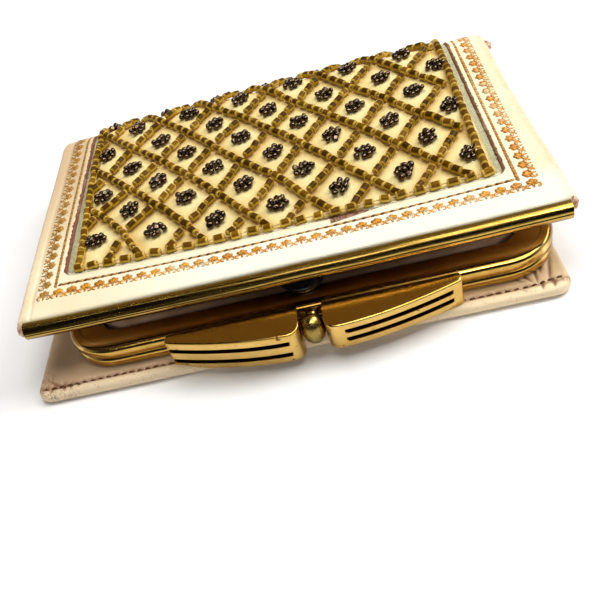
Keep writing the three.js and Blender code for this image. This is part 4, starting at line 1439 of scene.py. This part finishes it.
def flangeSection(base):
    thick, edge = jawSet["flangeThick"], jawSet["flangeEdge"]
    inner, side = jawSet["flangeFront"], jawSet["flangeSide"]
    start, corner, last = jawSet["rimWide"] / 2, jawSet["corner"], jawSet["flangeCorner"]
    return [
        (start, start, corner - start, base), (inner - edge, side - edge, last + edge, base),
        (inner, side, last, base + edge), (inner, side, last, base + thick - edge),
        (inner - edge, side - edge, last + edge, base + thick), (start, start, corner - start, base + thick),
    ]


def makeJaw(base, flangeBase):
    return joined("jaw", [frameLoft(rimSection(base)), frameLoft(flangeSection(flangeBase))])


lowBase = jawSet["base"]
highBase = jawSet["base"] + jawSet["rimHigh"] + jawSet["gap"]
piece("jaw_upper", makeJaw(highBase, jawTop - jawSet["flangeStep"] - jawSet["flangeThick"]), [jawGold],
      ["upper_jaw"], sharp=40)
piece("jaw_lower", makeJaw(lowBase, lowBase + jawSet["flangeStep"]), [jawGold],
      ["lower_jaw"], sharp=40)


# Hinge knuckles behind the jaws

knuckleSet = {
    "radius": 2.2, "half": 1.5, "gap": 0.3, "bevel": 0.25, "sides": 28,
    "neck": 0.18, "neckHalf": 0.1, "neckEdge": 0.2, "pin": 0.8, "pinEnd": 0.7, "pinDeep": 0.2,
}
bothSides = ((-1, "left"), (1, "right"))


def makeKnuckle(side):
    radius, half, bevel = knuckleSet["radius"], knuckleSet["half"], knuckleSet["bevel"]
    waist, narrow, edge = radius - knuckleSet["neck"], knuckleSet["neckHalf"], knuckleSet["neckEdge"]
    profile = [(radius - bevel, -half), (radius, bevel - half), (radius, -edge), (waist, -narrow),
               (waist, narrow), (radius, edge), (radius, half - bevel), (radius - bevel, half),
               (knuckleSet["pin"], half), (knuckleSet["pinEnd"], half - knuckleSet["pinDeep"])]
    points, faces = spin(profile, knuckleSet["sides"])
    x = jawSet["centreX"] + side * (jawSet["half"] - jawSet["rimWide"] / 2)
    y = jawSet["rear"] + knuckleSet["gap"] + radius + rowShift
    turned = points[:, [2, 0, 1]] * (side, 1, 1) + (x, y, (jawSet["base"] + jawTop) / 2)
    return weld(meshOf("knuckle", turned, faces), outward=True)


for side, label in bothSides:
    piece("hinge_" + label, makeKnuckle(side), [jawGold], ["hinge_knuckle_" + label], sharp=40)


# Bow clasp of two wings and a ball

wingSet = {
    "centreX": 3.75, "inner": 2.4, "outer": 29.4, "back": -5.9, "deep": 7.5, "taper": 4.9, "power": 1.7,
    "base": 2.5, "high": 6.1, "round": 0.4, "innerRound": 2.3, "crown": 0.14,
    "grooveHigh": 1.0, "grooveDeep": 0.9, "grooveLip": 0.08, "grooveFade": 0.35, "closeReach": (26.4, 27.8),
    "levels": {-1: (0.29, 0.68), 1: (0.34, 0.68)},  # this and what follows by side, -1 for the left wing
    "grooveStart": {-1: 5.0, 1: 6.2},
    "grooveEnd": {-1: 33.0, 1: 27.2},
    "lift": {-1: 0.35, 1: 0.0},
    "drop": {-1: 1.2, 1: 0.35},
}


def wingFront(reach):  # y of the front face
    span = wingSet["outer"] - 2 * wingSet["inner"]
    along = np.clip(reach - 2 * wingSet["inner"], 0, None) / span
    front = wingSet["back"] - wingSet["deep"] + wingSet["taper"] * along ** wingSet["power"]
    corner = np.clip(wingSet["inner"] + wingSet["innerRound"] - reach, 0, wingSet["innerRound"])
    return front + wingSet["innerRound"] - np.sqrt(wingSet["innerRound"] ** 2 - corner ** 2)


def wingReaches(start):  # places along a wing, close together where its grooves start and end
    inner, last, edge = wingSet["inner"], wingSet["outer"], wingSet["round"]
    closeFrom, closeTo = wingSet["closeReach"]
    reaches = stations(inner, (inner + 1.8, 0.15), (start - 0.5, 0.6), (start + 0.7, 0.1), (closeFrom, 1.1),
                       (closeTo, 0.1), (last - edge, 0.5))
    endRound = edge * (1 - np.cos(np.linspace(0, math.pi / 2, 5)))
    return np.r_[reaches[:-1], last - endRound[::-1]]


def makeWing(side):
    base, high, edge = wingSet["base"], wingSet["high"] + wingSet["lift"][side], wingSet["round"]
    drop = wingSet["drop"][side]  # the front face hangs lower than the back
    back, crown = wingSet["back"], wingSet["crown"]
    half, lip = wingSet["grooveHigh"] / 2, wingSet["grooveLip"]
    start, end, fade = wingSet["grooveStart"][side], wingSet["grooveEnd"][side], wingSet["grooveFade"]
    levels = [level * (high + drop) - drop for level in wingSet["levels"][side]]
    rises = [edge - drop]
    for level in levels:
        rises += [level - half - lip, level - half, level - half + lip, level,
                  level + half - lip, level + half, level + half + lip]
    rises = np.array(rises + [high - edge])
    depth = sum(1 - smooth(np.abs(rises - level), half - lip, half + lip) for level in levels)
    rings, marks = [], []
    for reach in wingReaches(start):
        front = float(wingFront(reach))
        shrink = max(0.0, reach - (wingSet["outer"] - edge))
        shrink = edge - math.sqrt(max(edge ** 2 - shrink ** 2, 0))
        bottom, peak, brow = edge - drop + shrink, high - edge - shrink, front + edge + shrink
        run = smooth(reach, start - fade, start + fade) * (1 - smooth(reach, end - fade, end + fade))
        groove = run * wingSet["grooveDeep"] * depth
        face = np.stack([front + shrink + groove, np.clip(rises, bottom, peak)], -1)
        low = arc(brow, bottom, edge, 270, 200, 4)
        top = arc(brow, peak, edge, 160, 90, 4)
        y = np.linspace(brow, back - edge, 7)[1:-1]
        share = (y - front) / (back - front)
        deck = np.stack([y, high - shrink + crown * np.sin(math.pi * share) - crown / 2 * share], -1)
        rear = [(back - edge, high - shrink - crown / 2), (back, peak), (back, edge + shrink),
                (back - edge, shrink)]
        section = np.vstack([low, face, top, deck, rear])
        x = np.full(len(section), wingSet["centreX"] + side * reach)
        rings.append(np.column_stack([x, section + (rowShift, base)]))
        marks.append(np.r_[np.zeros(len(low)), run * depth, np.zeros(len(section) - len(low) - len(face))])
    return tube(rings, np.concatenate(marks))


for side, label in bothSides:
    piece("bow_" + label, makeWing(side), [wingGold], [label + "_wing"], sharp=35)


ballSet = {
    "radii": (2.35, 2.5, 3.5), "egg": 0.05, "pole": 0.04, "reach": 4.0, "sides": 36, "rings": 22,
    "neck": 1.0, "neckFlare": (0.25, 0.0, 0.0, 0.3), "neckReach": (1.6, 2.4, 3.6), "neckSides": 24,
}


def makeBall():
    x, z = wingSet["centreX"], wingSet["base"] + wingSet["high"] / 2
    y = wingSet["back"] - ballSet["reach"] + rowShift
    points, faces = spin(ballProfile(ballSet["rings"], ballSet["pole"], ballSet["egg"]), ballSet["sides"])
    ball = meshOf("ball", points * ballSet["radii"] + (x, y, z), faces)
    sides = ballSet["neckSides"]
    places = [y + reach for reach in ballSet["neckReach"]] + [wingSet["back"] + rowShift]
    rings = []
    for flare, place in zip(ballSet["neckFlare"], places):
        ring = arc(x, z, ballSet["neck"] + flare, 0, 360 - 360 / sides, sides)
        rings.append(np.column_stack([ring[:, 0], np.full(sides, place), ring[:, 1]]))
    return joined("clasp", [weld(ball, outward=True), tube(rings)])


piece("bow_ball", makeBall(), [ballGold], ["clasp_ball"])


# Coin pouch gathered into the jaws

pouchSet = {
    "half": 43.7, "neck": 39.5, "neckY": 0.7, "shoulderY": 5.2, "fullness": 5.0, "sides": 96,
    "taper": 0.05, "taperReach": (42.0, 50.0), "slack": 0.15, "slackReach": (6.0, 14.0),
    "gather": 0.22, "pitch": 4.6, "gatherIn": (2.0, 4.0), "gatherOut": (10.0, 30.0),
}
pouchSections = [  # side view, from the mouth to the closed end
    {"y": -2.9, "low": 3.75, "high": 6.05},
    {"y": 0.8, "low": 3.75, "high": 6.05},
    {"y": 1.5, "low": 2.75, "high": 7.4},
    {"y": 4.6, "low": 2.55, "high": 8.6},
    {"y": 12.0, "low": 2.5, "high": 10.9},
    {"y": 22.0, "low": 2.5, "high": 11.4},
    {"y": 34.0, "low": 2.5, "high": 11.5},
    {"y": 42.0, "low": 2.8, "high": 10.2},
    {"y": 47.0, "low": 3.5, "high": 8.6},
    {"y": 50.0, "low": 4.9, "high": 7.1},
]


def makePouch():
    places, lows, highs = (np.array([row[key] for row in pouchSections]) for key in ("y", "low", "high"))
    turns = np.arange(pouchSet["sides"]) / pouchSet["sides"] * 2 * math.pi
    power = 2 / pouchSet["fullness"]
    across = np.sign(np.cos(turns)) * np.abs(np.cos(turns)) ** power
    upward = np.sign(np.sin(turns)) * np.abs(np.sin(turns)) ** power
    neck, swell = pouchSet["neck"], pouchSet["half"] - pouchSet["neck"]
    rings = []
    for y in stations(places[0], (0.7, 0.7), (6.6, 0.25), (44.0, 1.0), (places[-1], 0.5)):
        low, high = np.interp(y, places, lows), np.interp(y, places, highs)
        half = neck + swell * smooth(y, pouchSet["neckY"], pouchSet["shoulderY"])
        half *= 1 - pouchSet["taper"] * smooth(y, *pouchSet["taperReach"])
        x = across * half
        fade = smooth(y, *pouchSet["gatherIn"]) * (1 - smooth(y, *pouchSet["gatherOut"]))
        beat = 2 * math.pi * x / pouchSet["pitch"] + 0.6 * np.sin(0.4 * x) + 0.12 * y  # uneven gathers
        fold = pouchSet["gather"] * fade * np.sin(beat)
        slack = pouchSet["slack"] * np.sin(0.19 * x + 1.2) * np.sin(0.22 * y)
        slack = slack * smooth(y, *pouchSet["slackReach"])
        z = (low + high) / 2 + upward * (high - low) / 2 - upward * np.abs(fold + slack)
        rings.append(np.stack([x + jawSet["centreX"], np.full_like(x, y + rowShift), z], -1))
    return tube(rings)


pouch = piece("pouch_bag", makePouch(), [mauve], ["coin_pouch"])


# Snap between the pouch and the cover

snapSet = {"x": 2.9, "y": 4.6, "z": 8.4, "tilt": math.radians(20), "sides": 40, "scale": 1.2}
snapProfile = [  # (radius, height) from the base to the crown
    (0.2, 0.0), (4.4, 0.0), (4.62, 0.15), (4.7, 0.45), (4.7, 0.8), (4.55, 0.98), (4.2, 1.08), (3.95, 1.0),
    (3.75, 1.08), (3.55, 1.35), (3.0, 1.56), (1.6, 1.68), (0.2, 1.7),
]


def makeSnap():
    points, faces = spin(np.array(snapProfile) * snapSet["scale"], snapSet["sides"])
    sine, cosine = math.sin(snapSet["tilt"]), math.cos(snapSet["tilt"])
    x, y, z = points.T
    turned = np.stack([x, y * cosine - z * sine, y * sine + z * cosine], -1)
    place = (snapSet["x"], snapSet["y"] + rowShift, snapSet["z"])
    return weld(meshOf("snap", turned + place, faces), outward=True)


piece("snap_stud", makeSnap(), [enamel], ["snap"], sharp=50)


# Stitches round the lower panel

stitchSet = {
    "pitch": 1.7, "long": 1.3, "radius": 0.18, "dip": 0.28, "pinch": 0.35, "rings": 7, "sides": 6,
    "endGap": 2.0, "lift": 0.08, "seat": 0.6, "lineStep": 1.0, "seed": 8,
    "smallest": (0.8, 0.85, 0.9), "largest": (1.15, 1.15, 1.1), "sway": (0.0, 0.0, 0.34),
}


def stitchBar():  # one stitch, dipping into the leather at both ends
    sides = stitchSet["sides"]
    rings = []
    for place in np.linspace(-1, 1, stitchSet["rings"]):
        dip = stitchSet["dip"] * place ** 4
        radius = stitchSet["radius"] * (1 - stitchSet["pinch"] * place ** 4)
        ring = arc(0, -dip, radius, 0, 360 - 360 / sides, sides)
        rings.append(np.column_stack([np.full(sides, place * stitchSet["long"] / 2), ring]))
    return loosePart("stitch", tube(rings))


def stitchGrowth():
    tree = Growth("stitchGrowth", {"Stitch": "Object", "Pitch": "Float", "Sway": "Vector", "Seed": "Int",
                                   "Paint": "Material"})
    seed = tree.given("Seed")
    points, turn = tree.along(tree.given("Pitch"))
    size = tree.jitter(stitchSet["smallest"], stitchSet["largest"], seed, "FLOAT_VECTOR")
    placed = tree.copies(points, tree.shape("Stitch"), turn, size)
    roll = tree.sway(tree.given("Sway"), seed + 2)
    tree.close(tree.add("GeometryNodeRotateInstances", None, {"Instances": placed, "Rotation": roll}))
    return tree


def makeStitches():
    half = caseHalf - stitchSet["endGap"]
    front = caseLow[1] + caseCut["stitchInset"]
    x, y = resampled(np.array([[-half, front], [half, front]]), stitchSet["lineStep"]).T
    y = y + (hemLine(x) - caseCut["panelAhead"])
    rest = stitchSet["lift"] + stitchSet["radius"] * stitchSet["seat"]
    height = np.full(len(x), wrapShape["wall"] - caseCut["stitchDepth"] + rest)
    line = lineMesh("stitch_line", [np.column_stack([x - narrowed(x), y, height])])
    return stitchGrowth().run(line, {
        "Stitch": stitchBar(), "Pitch": stitchSet["pitch"], "Sway": stitchSet["sway"],
        "Seed": stitchSet["seed"], "Paint": brownThread.material})


piece("panel_stitches", makeStitches(), None)
